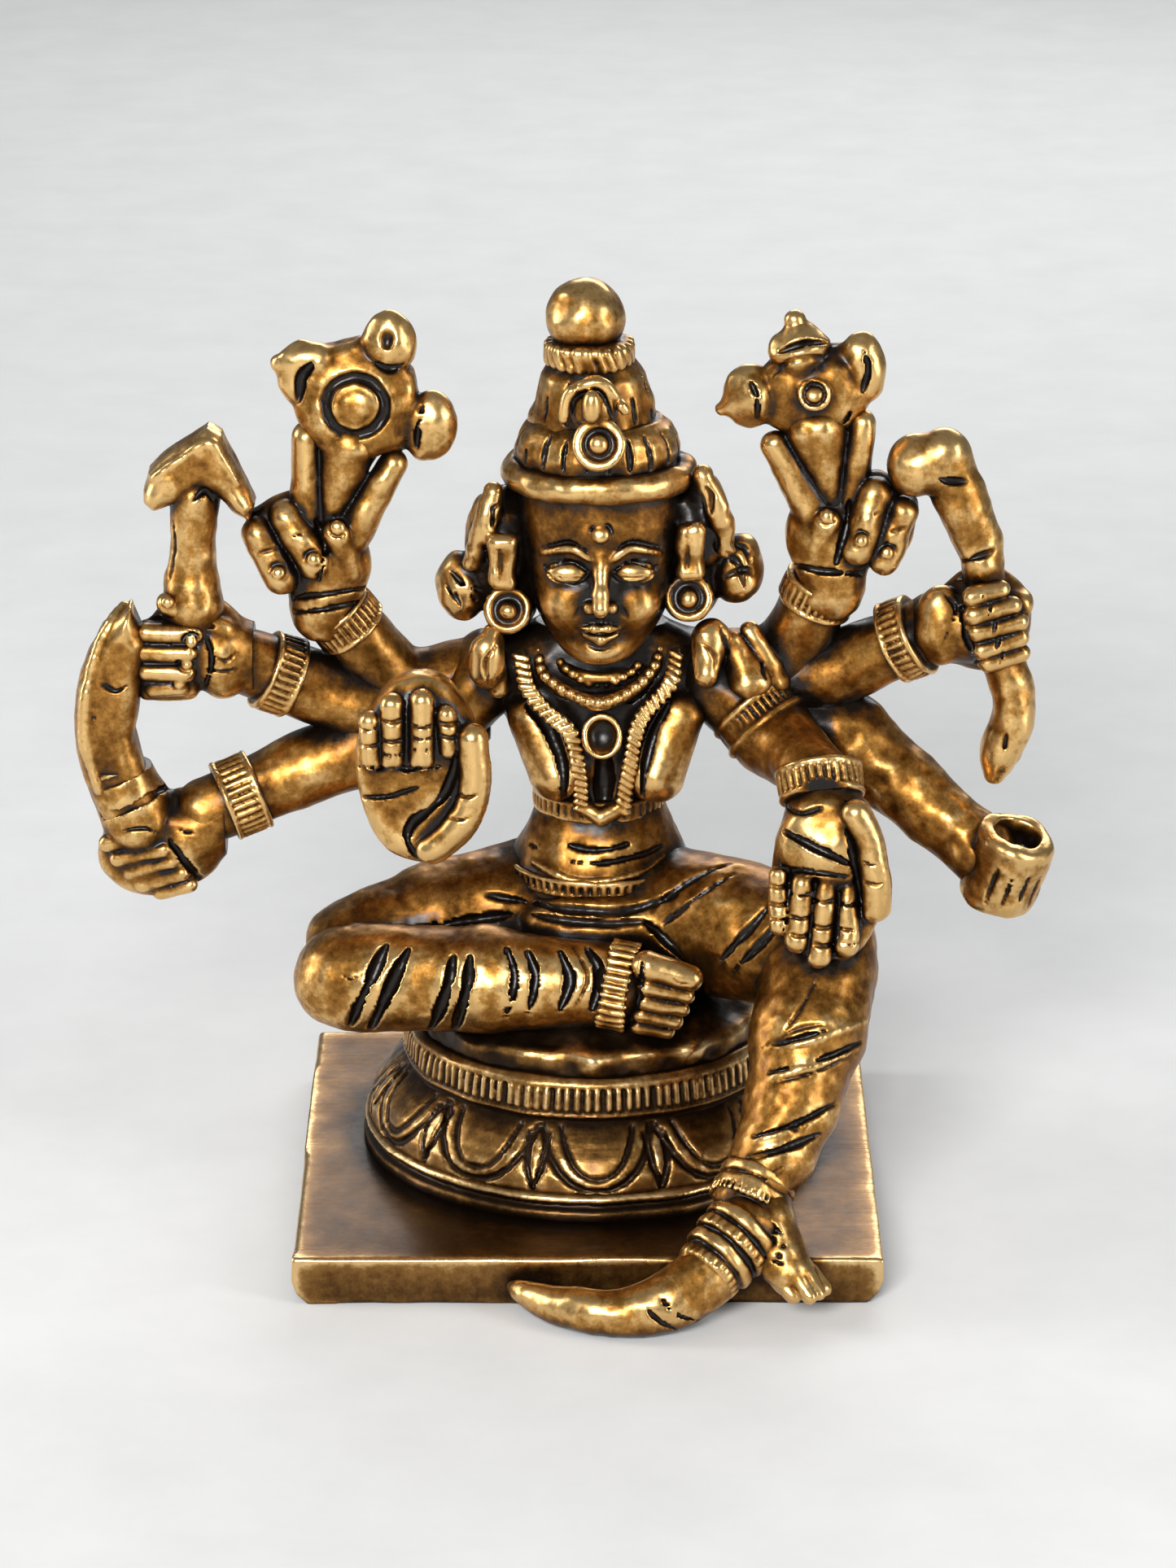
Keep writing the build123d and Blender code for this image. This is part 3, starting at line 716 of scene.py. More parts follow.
# ---------------------------------------------------------------- base
clay = Clay("plinth", cell=0.24)
wide, deep, tall = clay.half
side_view = [(-wide + 0.1, tall), (wide - 0.1, tall), (wide, 0), (wide - 0.35, -tall + 0.9),
             (wide - 1.2, -tall)]
side_view += [(-x, z) for x, z in reversed(side_view[2:])]
clay.add(outline(side_view, deep - 0.05, edge=0.12))
clay.push(lambda x, y, z: 0.012 * ((x / wide) ** 2 + (y / deep) ** 2) + 0 * z)
base(clay.uneven(9, 0.1).uneven(2.5, 0.03))

clay = Clay("pedestal_foot_ring", cell=0.2)
clay.add(lathe([(-1.6, 18.5), (-0.95, 18.85), (-0.3, 18.8), (0.02, 18.3), (0.2, 18.25), (0.5, 18.75),
                (0.9, 18.7), (1.25, 18.1)]), blend=0)
base(clay.uneven(3, 0.12).uneven(1, 0.04))

clay = Clay("lotus_petal_drum", cell=0.19)
clay.add(lathe([(-2.9, 18.2), (-2.3, 18.35), (-1.2, 18.1), (0.0, 17.5), (1.1, 16.6), (1.9, 15.7),
                (2.5, 15.0)]), blend=0)
PETALS = 11
for petal in range(PETALS):
    middle = -pi / 2 + 0.02 + petal * 2 * pi / PETALS
    for reach, top, tip, wide in ((0.275, 2.0, -2.3, 0.55), (0.18, 2.0, -1.4, 0.46)):
        turns = middle + reach * np.sin(np.linspace(-pi / 2, pi / 2, 15))
        heights = tip + (top - tip) * np.abs(np.sin(np.linspace(-pi / 2, pi / 2, 15))) ** 2.4
        out = np.array([[cos(t), sin(t), 0] for t in turns])
        path, _ = clay.skin(out * 16.5 + np.array([[0, 0, h] for h in heights]), out)
        clay.cut(*rope(path + out * 0.02, wide / 2), blend=0.08)
    turn = middle + pi / PETALS
    for lean in (-0.05, 0.05):
        out = np.array([[cos(turn + lean * s), sin(turn + lean * s), 0] for s in (1, 0.7, 0)])
        path, _ = clay.skin(out * 17 + np.array([[0, 0, h] for h in (1.6, -0.6, -2.3)]), out)
        clay.cut(*rope(path + out * 0.02, 0.24), blend=0.08)
base(clay.uneven(2.2, 0.1).uneven(0.9, 0.04))

clay = Clay("pedestal_bead_ring", cell=0.17)
clay.add(lathe([(-2, 15.2), (-1.5, 15.25), (-1.2, 15.5), (-0.9, 15.25), (-0.6, 15.2), (0.9, 14.95),
                (1.1, 15.15), (1.4, 15.0), (1.8, 14.6)]), blend=0)
BEADS = 118
for turn in round_turns(BEADS) + clay.random.uniform(-0.008, 0.008, BEADS):
    out = outward(turn)
    clay.add(bone(out * 15.15 + (0, 0, -0.62), out * 14.95 + (0, 0, 0.72), 0.34), blend=0.05)
base(clay.uneven(2.4, 0.12))

clay = Clay("seat", cell=0.19)
clay.add(lathe([(-4.2, 14.1), (-0.2, 14.3), (1.1, 14.25), (1.55, 13.95), (1.7, 13.5), (2.2, 12.6),
                (2.9, 11.6), (3.4, 10.9), (3.6, 10.0)]), blend=0)
clay.push(lambda x, y, z: 0.22 * np.sin(x * 1.3 + 0.7 * np.sin(y)) * np.clip(z - 0.9, 0, 1))
base(clay.uneven(2.0, 0.32).uneven(0.8, 0.08))

# ---------------------------------------------------------------- crown
clay = Clay("crown_finial")
clay.add(egg((0, 0, 0.1), (3.05, 3.05, 3.1)), bone((0, 0, -2.2), (0, 0, -4.2), 2.0), blend=0.5)
clay.cut(block((-2.6, -1.8, 1.5), (2, 1, 0.5), axes_of((-0.8, -0.7, 0.6))), blend=0.5)
cast(clay.uneven(2.2, 0.16).uneven(0.8, 0.04))

clay = Clay("crown_rope_ring")
clay.add(drum((0, 0, 0), 3.1, 1.1, edge=0.3))
for turn in round_turns(24):
    out, along = outward(turn), np.array([-sin(turn), cos(turn), 0])
    clay.add(bone(out * 3.1 + along * 0.22 + (0, 0, -0.55), out * 3.1 - along * 0.22 + (0, 0, 0.55), 0.5),
             blend=0.06)
cast(clay.uneven(1.2, 0.12))

clay = Clay("crown_upper_tier")
clay.add(lathe([(-2.8, 5.0), (-2.1, 4.95), (-0.4, 4.6), (1.2, 4.1), (2.1, 3.5), (2.9, 2.9)], squash=0.87))
for turn in round_turns(14) + 0.15:
    out = outward(turn)
    clay.groove([out * 4 + (0, 0, h) for h in (-1.9, -0.3, 1.4)], 0.4, 0.3, out)
cast(clay.uneven(1.6, 0.22).uneven(0.8, 0.05))

clay = Clay("crown_lower_tier")
clay.add(lathe([(-2.3, 6.2), (-1.5, 6.5), (-0.6, 6.55), (0.5, 6.2), (1.2, 5.7), (1.7, 5.0)], squash=0.86))
for turn in round_turns(20) + 0.16:
    out = outward(turn)
    clay.groove([out * 5 + (0, 0, h) for h in (-1.3, 0, 1.2)], 0.42, 0.3, out)
for spot in ((-3, -6, 0.97), (2.67, -6, 1.1)):
    clay.cut(egg(spot, (0.5, 1.2, 1.25)), blend=0.1)
cast(clay.uneven(1.6, 0.16).uneven(0.7, 0.05))

clay = Clay("crown_ornament")
clay.add(egg((0.2, -0.81, 1.28), (1.9, 1.6, 2.4)), blend=0)
clay.groove(line(-1.71, (-1.52, 0.68), (-1.33, 1.98), (-0.58, 2.64), (0.67, 2.51), (1.55, 0.68)), 0.6, 0.5)
clay.ridge(line(-1.71, (-2.21, 0.49), (-1.83, 2.38), (-0.71, 3.15), (0.92, 3.28), (2.55, 1.14)), 0.8, 0.35)
clay.add(egg((-0.02, -2.21, 1.61), (0.8, 0.8, 1.3)), blend=0.1)
medal = np.array((0.55, -2.21, -1.45))
face_out = axes_of(VIEW)
clay.add(drum(medal, 2.05, 0.75, face_out, edge=0.25), blend=0.1)
clay.cut(hoop(medal + VIEW * 0.8, 1.05, 1.05, 0.34, face_out), blend=0.05)
clay.add(egg(medal + VIEW * 0.6, (0.75, 0.75, 0.5), face_out), blend=0.05)
cast(clay.uneven(1.3, 0.08))

clay = Clay("crown_band")
clay.add(hoop((0, 0, 0), 6.75, 5.6, 1.0, tall=1.15))
clay.add(drum((0, 0, 0), 7.0, 1.0, squash=0.82, edge=0.4), blend=0.2)
for share in np.concatenate([np.arange(-0.98, -0.3, 0.075), np.arange(0.42, 1.0, 0.085)]):
    turn = -pi / 2 + share * 1.25
    out = np.array([cos(turn), sin(turn) * 0.8, 0.35])
    clay.groove([out * 6.6 + (0, 0, -0.5), out * 6.9 + (0, 0, 0.6)], 0.55, 0.4, out, fade=False)
for turn in np.arange(0.3, 2.9, 0.16):
    out = np.array([cos(turn), sin(turn) * 0.8, 0.3])
    clay.groove([out * 6.6 + (0, 0, -0.4), out * 6.9 + (0, 0, 0.5)], 0.3, 0.18, out)
cast(clay.uneven(1.8, 0.13).uneven(0.8, 0.05))

# ---------------------------------------------------------------- head, ears and hair
clay = Clay("head")
clay.add(oval_loft([(-7.0, 0, 0.6, 2.2, 2.6), (-5.9, 0, -0.5, 3.0, 4.0), (-3.8, 0, 0, 4.6, 4.9),
                    (-1.0, 0, 0.1, 5.7, 5.4), (1.6, 0, 0.2, 6.2, 5.6), (4.0, 0, 0.3, 6.4, 5.6),
                    (8.0, -0.1, 0.5, 6.5, 5.5)]))
clay.add(egg((0, -3.1, -5.0), (1.8, 1.9, 1.3)), bone((0, 0.8, -5), (0, 1.4, -8), 2.6), blend=1.1)
for side in (-1, 1):
    clay.add(egg((side * 2.7, -3.7, -1.3), (1.8, 1.6, 1.8)), blend=1.1)
    clay.cut(egg((side * 2.35, -6.7, 1.55), (1.9, 1.7, 1.15)), blend=0.9)
    clay.add(egg((side * 2.5, -4.6, 1.5), (1.75, 1.0, 0.98)), blend=0.12)
    clay.groove([(side * 0.9, 0, 1.55), (side * 1.6, 0, 1.0), (side * 2.5, 0, 0.82), (side * 3.5, 0, 1.05),
                 (side * 4.4, 0, 1.7)], 0.45, 0.4, (0, -1, 0))
    clay.groove([(side * 1.0, 0, 1.75), (side * 2.4, 0, 2.42), (side * 4.4, 0, 1.75)], 0.45, 0.4, (0, -1, 0))
    clay.groove([(side * 1.3, 0, 1.42), (side * 2.5, 0, 1.3), (side * 3.7, 0, 1.45)], 0.2, 0.14, (0, -1, 0))
    clay.ridge([(side * 0.8, 0, 2.7), (side * 2.3, 0, 3.55), (side * 4.6, 0, 2.8)], 0.6, 0.32, (0, -1, 0),
               fade=True)
    clay.groove([(side * 1.1, 0, 3.35), (side * 2.4, 0, 4.0), (side * 4.7, 0, 3.2)], 0.34, 0.26, (0, -1, 0))
clay.add(*rope([(0, -4.9, 2.8), (0, -5.35, 1.6), (0, -6.0, 0.1), (0, -6.3, -1.0)], [0.5, 0.5, 0.62, 0.72]),
         blend=0.45)
for side in (-1, 1):
    clay.add(ball((side * 0.85, -5.5, -1.15), 0.55), blend=0.3)
    clay.cut(ball((side * 0.5, -6.0, -1.75), 0.24), blend=0.15)
    clay.groove([(side * 1.5, 0, -1.0), (side * 2.1, 0, -2.1)], 0.3, 0.12, (0, -1, 0))
clay.groove(line(0, (0, -2.0), (0, -2.5)), 0.4, 0.14, (0, -1, 0))
clay.add(*rope([(-1.5, -4.9, -3.05), (-0.5, -5.45, -2.85), (0, -5.4, -2.95), (0.5, -5.45, -2.85),
                (1.5, -4.9, -3.05)], [0.2, 0.42, 0.36, 0.42, 0.2]), blend=0.15)
clay.add(*rope([(-1.2, -4.9, -3.5), (0, -5.3, -3.75), (1.2, -4.9, -3.5)], [0.25, 0.52, 0.25]), blend=0.15)
clay.groove(line(0, (-1.8, -3.1), (-0.8, -3.3), (0, -3.25), (0.8, -3.3), (1.8, -3.1)), 0.26, 0.26, (0, -1, 0))
clay.groove(line(0, (-1.0, -4.35), (0, -4.55), (1.0, -4.35)), 0.4, 0.16, (0, -1, 0))
nail(clay, (0, -5, 4.7), 0.85)
for turn in np.arange(26) * pi / 25:
    out = np.array([cos(turn) * 0.98, sin(turn), 0.15])
    clay.groove([out * 4.6 + (0, 0.5, h) for h in (5.2, 1.0, -3.4)], 0.36, 0.25, out)
cast(clay.uneven(2.2, 0.08).uneven(0.8, 0.03))


def ear_and_hair(name, side, hair, ear, puff, ribbon, curls):
    """A long ear in front of combed hair, with a puff of curls and a ribbon behind it."""
    clay = Clay(name, grow=2.4)
    clay.add(egg(hair[0], (2.5, 3.3, 4.5)), egg(hair[1], (1.9, 2.7, 4.3)),
             egg((-side * 1.9, 0.5, -3.9), (2.6, 2.4, 4.2)), blend=0.6)
    clay.add(egg(puff, (2.2, 2.3, 2.9)), blend=0.35)
    clay.add(block(ear, (1.15, 2.3, 0.9), axes_of((0, -1, 0)), edge=0.7), blend=0.15)
    clay.add(*rope(smooth_path(ribbon, 3), 0.85), blend=0.45)
    ex, ey, ez = ear
    clay.groove([(ex - 0.35, ey, ez + 1.6), (ex - 0.2, ey, ez), (ex - 0.3, ey, ez - 1.7)], 0.25, 0.14)
    for start, end in curls:
        clay.groove([start, ((start[0] + end[0]) / 2 + 0.3 * side, 0, (start[2] + end[2]) / 2), end], 0.45,
                    0.35)
    for turn in np.arange(6) * 0.4 + 0.3:
        out = np.array([side * cos(turn), sin(turn), 0.1])
        clay.groove([out * 2 + (0, 0.6, 4.5), out * 2 + (0, 0.6, 0), out * 2 + (side * 0.8, 0.6, -4)], 0.4,
                    0.3, out)
    cast(clay.uneven(1.5, 0.2).uneven(0.7, 0.06))


ear_and_hair("ear_and_hair_left", -1, ((1.57, 0.29, -0.32), (0.29, 0.09, -0.52)), (1.49, -3.51, -0.85),
             (-1.67, 0.19, -3.93), [(0.62, -2.51, 4.44), (-0.03, -2.71, 1.9), (-0.96, -2.11, -1.3)],
             [((-2.78, -1.31, -2.23), (-0.36, -1.31, -5.27)),
              ((-2.41, -1.31, -4.59), (-0.35, -1.31, -3.92)), ((0.71, -1.31, 1.8), (0.18, -1.31, -1.56)),
              ((1.36, -1.31, 3.14), (0.71, -1.31, 1.13)), ((-3.05, -1.31, -3.44), (-1.52, -1.31, -5.74))])

ear_and_hair("ear_and_hair_right", 1, ((-1.85, 0.29, -0.32), (-0.57, 0.09, 0.08)), (-1.91, -3.51, -0.87),
             (1.77, 0.19, -3.53), [(-0.78, -2.51, 4.82), (0.25, -2.71, 2.28), (1.06, -2.11, -1.04)],
             [((0.95, -1.31, -1.83), (2.46, -1.31, -4.87)), ((0.84, -1.31, -3.85), (3.09, -1.31, -3.52)),
              ((-0.75, -1.31, 3.52), (-0.35, -1.31, 0.85)), ((-0.34, -1.31, 0.18), (0.07, -1.31, -3.18)),
              ((1.46, -1.31, -1.16), (2.88, -1.31, -2.51))])


def earring(name):
    """A thick ring stud with a round boss."""
    clay, axes = Clay(name), axes_of(VIEW)
    clay.add(drum((0, 0.3, 0), 1.95, 0.9, axes, edge=0.4))
    clay.cut(hoop(VIEW * 0.75, 1.05, 1.05, 0.36, axes), blend=0.05)
    clay.add(egg(VIEW * 0.55, (0.72, 0.72, 0.55), axes), blend=0.05)
    for turn in round_turns(16):
        out = spoke(axes, turn)
        clay.cut(bone(out * 1.95 + VIEW * 1.2, out * 2.05 - VIEW * 0.4, 0.13), blend=0.06)
    cast(clay.uneven(1.2, 0.1))


earring("earring_left")
earring("earring_right")

clay = Clay("shoulder_drop_left")
clay.add(egg((-1.18, -0.25, -0.06), (1.5, 1.4, 2.3)), bone((-0.8, 0.35, 1.9), (-0.44, 0.75, -2.65), 0.9),
         blend=0.3)
clay.groove(line(-0.65, (-0.27, 1.56), (-1.31, -0.13), (-1.06, -2.16)), 0.3, 0.2)
cast(clay.uneven(1.3, 0.15))

clay = Clay("shoulder_drops_right")
for start, end, low, high in (
    ((-1.8, 0.25, 1.21), (-2.07, -1.15, -1.23), 1.6, 1.0),
    ((-0.12, 0.65, 0.73), (1.31, 0.05, -2.32), 0.9, 1.75),
    ((1.44, 1.45, 1.48), (3.27, 1.05, -2.66), 0.8, 1.4),
):
    clay.add(bone(start, end, low, high), blend=0.05)
clay.grooves(-0.15, (0.45, 0.5, (-0.92, 2.35), (-0.52, 0.33), (-0.88, -2.25)),
             (0.45, 0.5, (0.75, 2.02), (1.92, -0.01), (2.85, -3.07)))
clay.groove(line(-1.15, (-2.47, 1.34), (-1.44, 0.33), (-1.3, -0.82)), 0.25, 0.15)
cast(clay.uneven(1.4, 0.15).uneven(0.7, 0.05))

# ---------------------------------------------------------------- chest
clay = Clay("torso", grow=1.4)
clay.add(oval_loft([(-11.5, 0, 0, 7.4, 6.4), (-9.0, -0.1, 0, 6.9, 5.9), (-6.4, -0.1, 0, 5.8, 4.9),
                    (-4.0, -0.1, 0, 5.0, 4.2), (1.2, -0.1, 0, 7.2, 4.5), (4.2, -0.1, 0.2, 8.0, 4.5),
                    (8.2, 0, 0.2, 9.6, 4.0), (10.6, 0, 0, 5.2, 3.2)]))
clay.add(bone((-9, 0.4, 6.4), (9, 0.4, 6.4), 3.2), blend=1.0)
for side, top, tip in ((-1, (-5.43, -3.2, 3.44), (-3.56, -3.9, -0.84)),
                       (1, (6.26, -3.2, 3.58), (4.33, -3.9, -0.98))):
    clay.add(bone(top, tip, 2.0, 2.35), blend=0.9)
for curve in (line(-5, (-5.73, 5.16), (-4.32, 3.32), (-3.17, 0.25), (-3.04, -2.85)),
              line(-5, (5.32, 5.16), (4.3, 2.98), (3.61, 0.25), (3.29, -2.5))):
    clay.groove(curve, 1.1, 0.9)
clay.grooves(-5, (1.7, 1.2, (0.06, 1.27), (0.19, -1.13), (0.19, -3.54)),
             (0.8, 0.6, (-2.52, 5.71), (-3.16, 6.39), (-4.56, 8.01)),
             (0.8, 0.6, (1.98, 5.3), (3.01, 6.25), (4.29, 7.74)))
clay.groove([(-5.77, -5, -6.65), (-3.17, -6, -7.52), (-0.26, -6, -7.93), (3.31, -5, -7.48),
             (5.25, -5, -6.51)], 0.45, 0.4)
clay.groove([(-4.34, -5, -5.4), (-2.53, -6, -6.41), (-0.26, -6, -6.82), (2.33, -5, -6.51),
             (3.95, -5, -5.12)], 0.45, 0.4)
clay.ridge([(-5.45, -5, -8.17), (-2.53, -6, -9.32), (0.06, -6, -9.46), (3.31, -5, -9.01),
            (4.93, -5, -7.76)], 0.55, 0.25)
clay.groove([(0.2, 3, h) for h in (8, 2, -4, -9)], 0.9, 0.5, (0, 1, 0))
cast(clay.uneven(2.6, 0.16).uneven(0.9, 0.05))

clay = Clay("necklace")
clay.add(hoop((0, 0.3, -0.9), 4.5, 3.6, 0.55, axes_of((0, -0.42, 1), (0, 1, 0))), blend=0)
clay.add(hoop((0, -0.2, 0.6), 3.7, 3.0, 0.5, axes_of((0, -0.42, 1), (0, 1, 0))), blend=0.05)
clay.add(bone((0, 0.6, -3), (0, 0.8, 3.4), 2.9), blend=0.1)
clay.add(*rope(smooth_path([(-4.84, -0.4, 0.79), (-4.5, -2.2, -0.5), (-2.44, -3.7, -1.62),
                            (-0.2, -4.3, -2.22), (2.05, -3.7, -1.62), (3.98, -2.2, -0.37),
                            (4.64, -0.4, 0.93)]), 0.55), blend=0.1)
spots, _ = spaced(smooth_path([(-4.83, -0.9, 0.96), (-4.5, -2.6, -0.36), (-2.44, -4.1, -1.48),
                               (-0.2, -4.7, -2.08), (2.04, -4.1, -1.48), (3.98, -2.6, -0.23),
                               (4.64, -0.9, 1.1)]), 0.8)
clay.add(*[ball(p, 0.48) for p in spots], blend=0.06)
clay.beads([(-3.73, -1.9, 1.64), (-2.76, -3.2, 0.25), (-0.2, -3.6, -0.97), (2.37, -3.2, -0.02),
            (3.47, -1.9, 1.3)], 0.42, 0.7, 0.3)
cast(clay.uneven(1.4, 0.12))

clay = Clay("pendant_ring")
axes = axes_of(VIEW)
clay.add(drum((0, 0.2, 0), 1.65, 0.8, axes, edge=0.3, squash=1.12))
clay.cut(egg(VIEW * 0.9, (1.2, 1.35, 0.95), axes), blend=0.08)
clay.add(hoop(VIEW * 0.75, 1.4, 1.6, 0.26, axes), blend=0.06)
cast(clay.uneven(1.2, 0.08))

clay = Clay("chest_cords")
LEFT_CORD = [(-6.31, 1.25, 6.19), (-5.79, -0.35, 4.22), (-4.25, -0.95, 2.32), (-2.45, -1.35, 0.82),
             (-1.81, -1.35, -1.91), (-1.55, -0.35, -6.05)]
RIGHT_CORD = [(5.92, 1.25, 6.39), (5.52, -0.35, 4.56), (3.85, -0.95, 2.73), (2.89, -1.35, 1.16),
              (2.32, -1.15, -1.98), (1.69, -0.35, -6.05)]
for cord in (LEFT_CORD, RIGHT_CORD):
    path = smooth_path(cord)
    clay.add(*rope(path + np.array((0, 0.35, 0)), 0.55), blend=0.2)
    spots, ahead = spaced(path, 0.62)
    for spot, way in zip(spots, ahead):
        side = unit(np.cross(VIEW, way)) + way * 0.45
        clay.add(bone(spot - side * 0.42 + VIEW * 0.2, spot + side * 0.42 + VIEW * 0.2, 0.27), blend=0.04)
clay.add(*rope([(-1.55, 0.05, -5.86), (0, -0.55, -6.6), (1.69, 0.05, -5.86)], 0.7), blend=0.1)
cast(clay.uneven(1.4, 0.08))


def beaded_belt(name, wide, deep, thick, beads, bead, tall, level=0.0):
    """An oval belt: a row of upright beads between two thin rims."""
    clay = Clay(name)
    clay.add(drum((0, 0, level), wide - thick, tall, edge=0.3, squash=(deep - thick) / (wide - thick)))
    for turn in round_turns(beads):
        out = np.array([cos(turn) * (wide - 0.42), sin(turn) * (deep - 0.42), level])
        clay.add(bone(out - (0, 0, tall * 0.35), out + (0, 0, tall * 0.35), bead), blend=0.04)
    for side in (-1, 1):
        clay.add(hoop((0, 0, level + side * tall * 0.86), wide - 0.4, deep - 0.4, 0.26), blend=0.06)
    cast(clay.uneven(1.6, 0.1))


beaded_belt("waist_belt", 5.45, 4.65, 0.5, 46, 0.3, 0.75)
beaded_belt("hip_belt", 7.5, 6.6, 0.5, 62, 0.3, 0.62, -1.3)

# ---------------------------------------------------------------- arms and cuffs
cast(arm("discus_arm", [(7.64, 0.78, -1.55), (0.04, 0.58, -3.55), (-6.36, -1.62, 5.65)], [3.2, 3.0, 2.4]))
cast(arm("axe_arm", [(8.85, 1.4, -1.79), (1.45, 0.6, -1.99), (-8.15, -1.6, 2.61)], [2.8, 3.2, 2.6]))
cast(arm("sword_arm", [(11.02, 1.85, 4.23), (3.22, 0.95, 2.43), (-9.58, -1.95, -2.17)], [2.7, 3.3, 2.6]))
cast(arm("blessing_arm", [(3.04, 4.59, 2.39), (-1.36, 3.19, -2.41), (-2.16, -6.41, -2.81)], [3.2, 2.9, 2.5]))
cast(arm("conch_arm", [(-5.73, 0.84, -3.61), (0.87, 0.64, -3.41), (4.47, -1.56, 5.79)], [3.2, 3.0, 2.5]))
cast(arm("bow_arm", [(-8.48, 1.55, -3), (-1.48, 0.75, -1.8), (7.72, -1.85, 3.2)], [2.8, 3.0, 2.6]))

clay = arm("giving_arm", [(-5.01, 5.49, 2.47), (-0.01, 2.69, -1.93), (3.39, -4.51, -2.93)], [3.2, 3.2, 2.6])
upper = unit((4, -2.8, -4.4))
for spot, swell in (((-1.61, 3.79, -0.13), 3.35), ((-0.41, 2.99, -1.43), 3.45)):
    clay.add(hoop(spot, swell, swell, 0.34, axes_of(upper)), blend=0.06)
for turn in round_turns(36):
    across = axes_of(upper)
    spot = np.array((-1.01, 3.39, -0.78)) + spoke(across, turn) * 3.3
    clay.add(bone(spot - upper * 0.5, spot + upper * 0.5, 0.24), blend=0.04)
cast(clay)

clay = arm("cup_arm", [(-11.31, 2.59, 7.67), (-2.91, 1.79, 5.67), (7.69, -2.01, -2.73),
                       (9.69, -2.21, -5.13)], [2.6, 3.3, 2.6, 2.9])
for curve in (line(-3.61, (7.32, -2.07), (8.59, -3.87), (10.26, -5.54)),
              line(-3.61, (7.96, -1.79), (9.55, -3.32)),
              line(-3.61, (7.74, -3.32), (8.81, -4.7), (9.35, -5.54))):
    clay.groove(curve, 0.4, 0.3)
cast(clay.uneven(1.1, 0.12))

bangle("discus_bangle", (-6.4, -2.2, 9.2), 1.37, 3.05)
bangle("axe_bangle", (-9.6, -2.2, 4.6), 1.35, 3.3)
bangle("sword_bangle", (-12.8, -2.9, -4.6), 1.55, 3.35)
bangle("conch_bangle", (3.6, -2.2, 9.2), 1.25, 3.1)
bangle("bow_bangle", (9.2, -2.6, 5), 1.25, 3.4)
bangle("giving_bangle", (0.9, -4.6, -6.4), 1.3, 3.45, at=(0.4, -1.2, -0.4))

# ---------------------------------------------------------------- hands that hold things
clay = Clay("axe_hand")
clay.add(egg((0.43, 0.33, 0.01), (4.0, 2.5, 3.9)), bone((1.43, 0.43, -0.39), (5.03, 0.93, -1.69), 3.1, 2.8),
         blend=0.8)
clay.add(block((-1.73, -0.77, -1.24), (2.5, 1.5, 3.2), edge=1.0), egg((2.6, -0.27, -1.2), (2.3, 2.3, 3.4)),
         blend=0.5)
clay.add(bone((2.57, -0.87, 1.23), (-1.54, -1.67, 3.72), 1.25, 0.95), blend=0.12)
clay.groove(line(-2.67, (-3.79, 2.98), (-0.93, 2.57), (2.06, 2.17)), 0.5, 0.5)
for start, end in (((-3.24, -1.97, 1.4), (0.49, -2.37, 1.4)), ((-3.4, -2.07, -0.12), (0.08, -2.47, -0.12)),
                   ((-3.32, -2.07, -1.67), (-0.22, -2.37, -1.71)),
                   ((-2.88, -1.67, -3.23), (-0.67, -1.97, -3))):
    clay.add(bone(start, end, 0.86, 0.8), blend=0.03)
for spot in ((0.35, -3.27, 1.09), (-0.07, -3.27, -0.66), (-0.7, -3.07, -2.35)):
    nail(clay, spot, 0.66)
nail(clay, (-1.46, -2.67, 4.18), 0.62)
clay.grooves(-2.67, (0.45, 0.4, (1.53, 1.16), (1.87, -0.66), (1.17, -3.09)),
             (0.25, 0.16, (2.13, -0.25), (3.02, -0.66), (3.8, 0.02)),
             (0.25, 0.2, (1.72, -1.4), (2.81, -1.54), (3.9, -1.33)))
cast(clay.uneven(1.6, 0.08).uneven(0.7, 0.03))

clay = Clay("sword_hand")
clay.add(egg((-0.12, 0.03, -1.71), (4.4, 2.3, 3.5)), egg((2.5, 0.33, -0.29), (3.3, 2.5, 3.9)), blend=0.8)
clay.add(bone((2.5, 0.33, -0.29), (6.25, 0.83, 2.18), 3.1, 2.8), blend=0.6)
clay.add(bone((-1.06, -0.07, 1.38), (-2.62, -0.37, 5.22), 3.1, 2.75), blend=0.5)
clay.groove(line(-3.07, (-4.6, 4.96), (-2.46, 5.65), (0.22, 7.28)), 0.6, 0.55, fade=False)
clay.groove(line(-3.07, (-3.9, 2.56), (-1.56, 3.32), (1.06, 4.96)), 0.6, 0.55, fade=False)
clay.add(bone((3.4, -1.07, 0.99), (-2.4, -1.27, 1.41), 1.3, 1.0), blend=0.2)
for start, end in (((-3.6, -1.47, -0.31), (0.1, -2.07, 0.54)),
                   ((-2.72, -1.57, -1.59), (0.98, -2.17, -0.53)),
                   ((-1.85, -1.47, -2.67), (1.59, -1.97, -1.64)),
                   ((-0.85, -1.27, -3.72), (2.32, -1.77, -2.76)),
                   ((0.53, -0.97, -4.53), (2.92, -1.37, -3.89))):
    clay.add(bone(start, end, 0.72, 0.66), blend=0.03)
clay.grooves(-3.07, (0.7, 0.7, (1.27, 0.84), (2.33, -0.81), (3.95, -3.16)),
             (0.3, 0.25, (-2.26, 1.26), (-0.64, 1.53), (0.7, 1.12)),
             (0.3, 0.22, (2.13, 1.39), (3.54, 1.12)))
cast(clay.uneven(1.6, 0.1).uneven(0.7, 0.03))

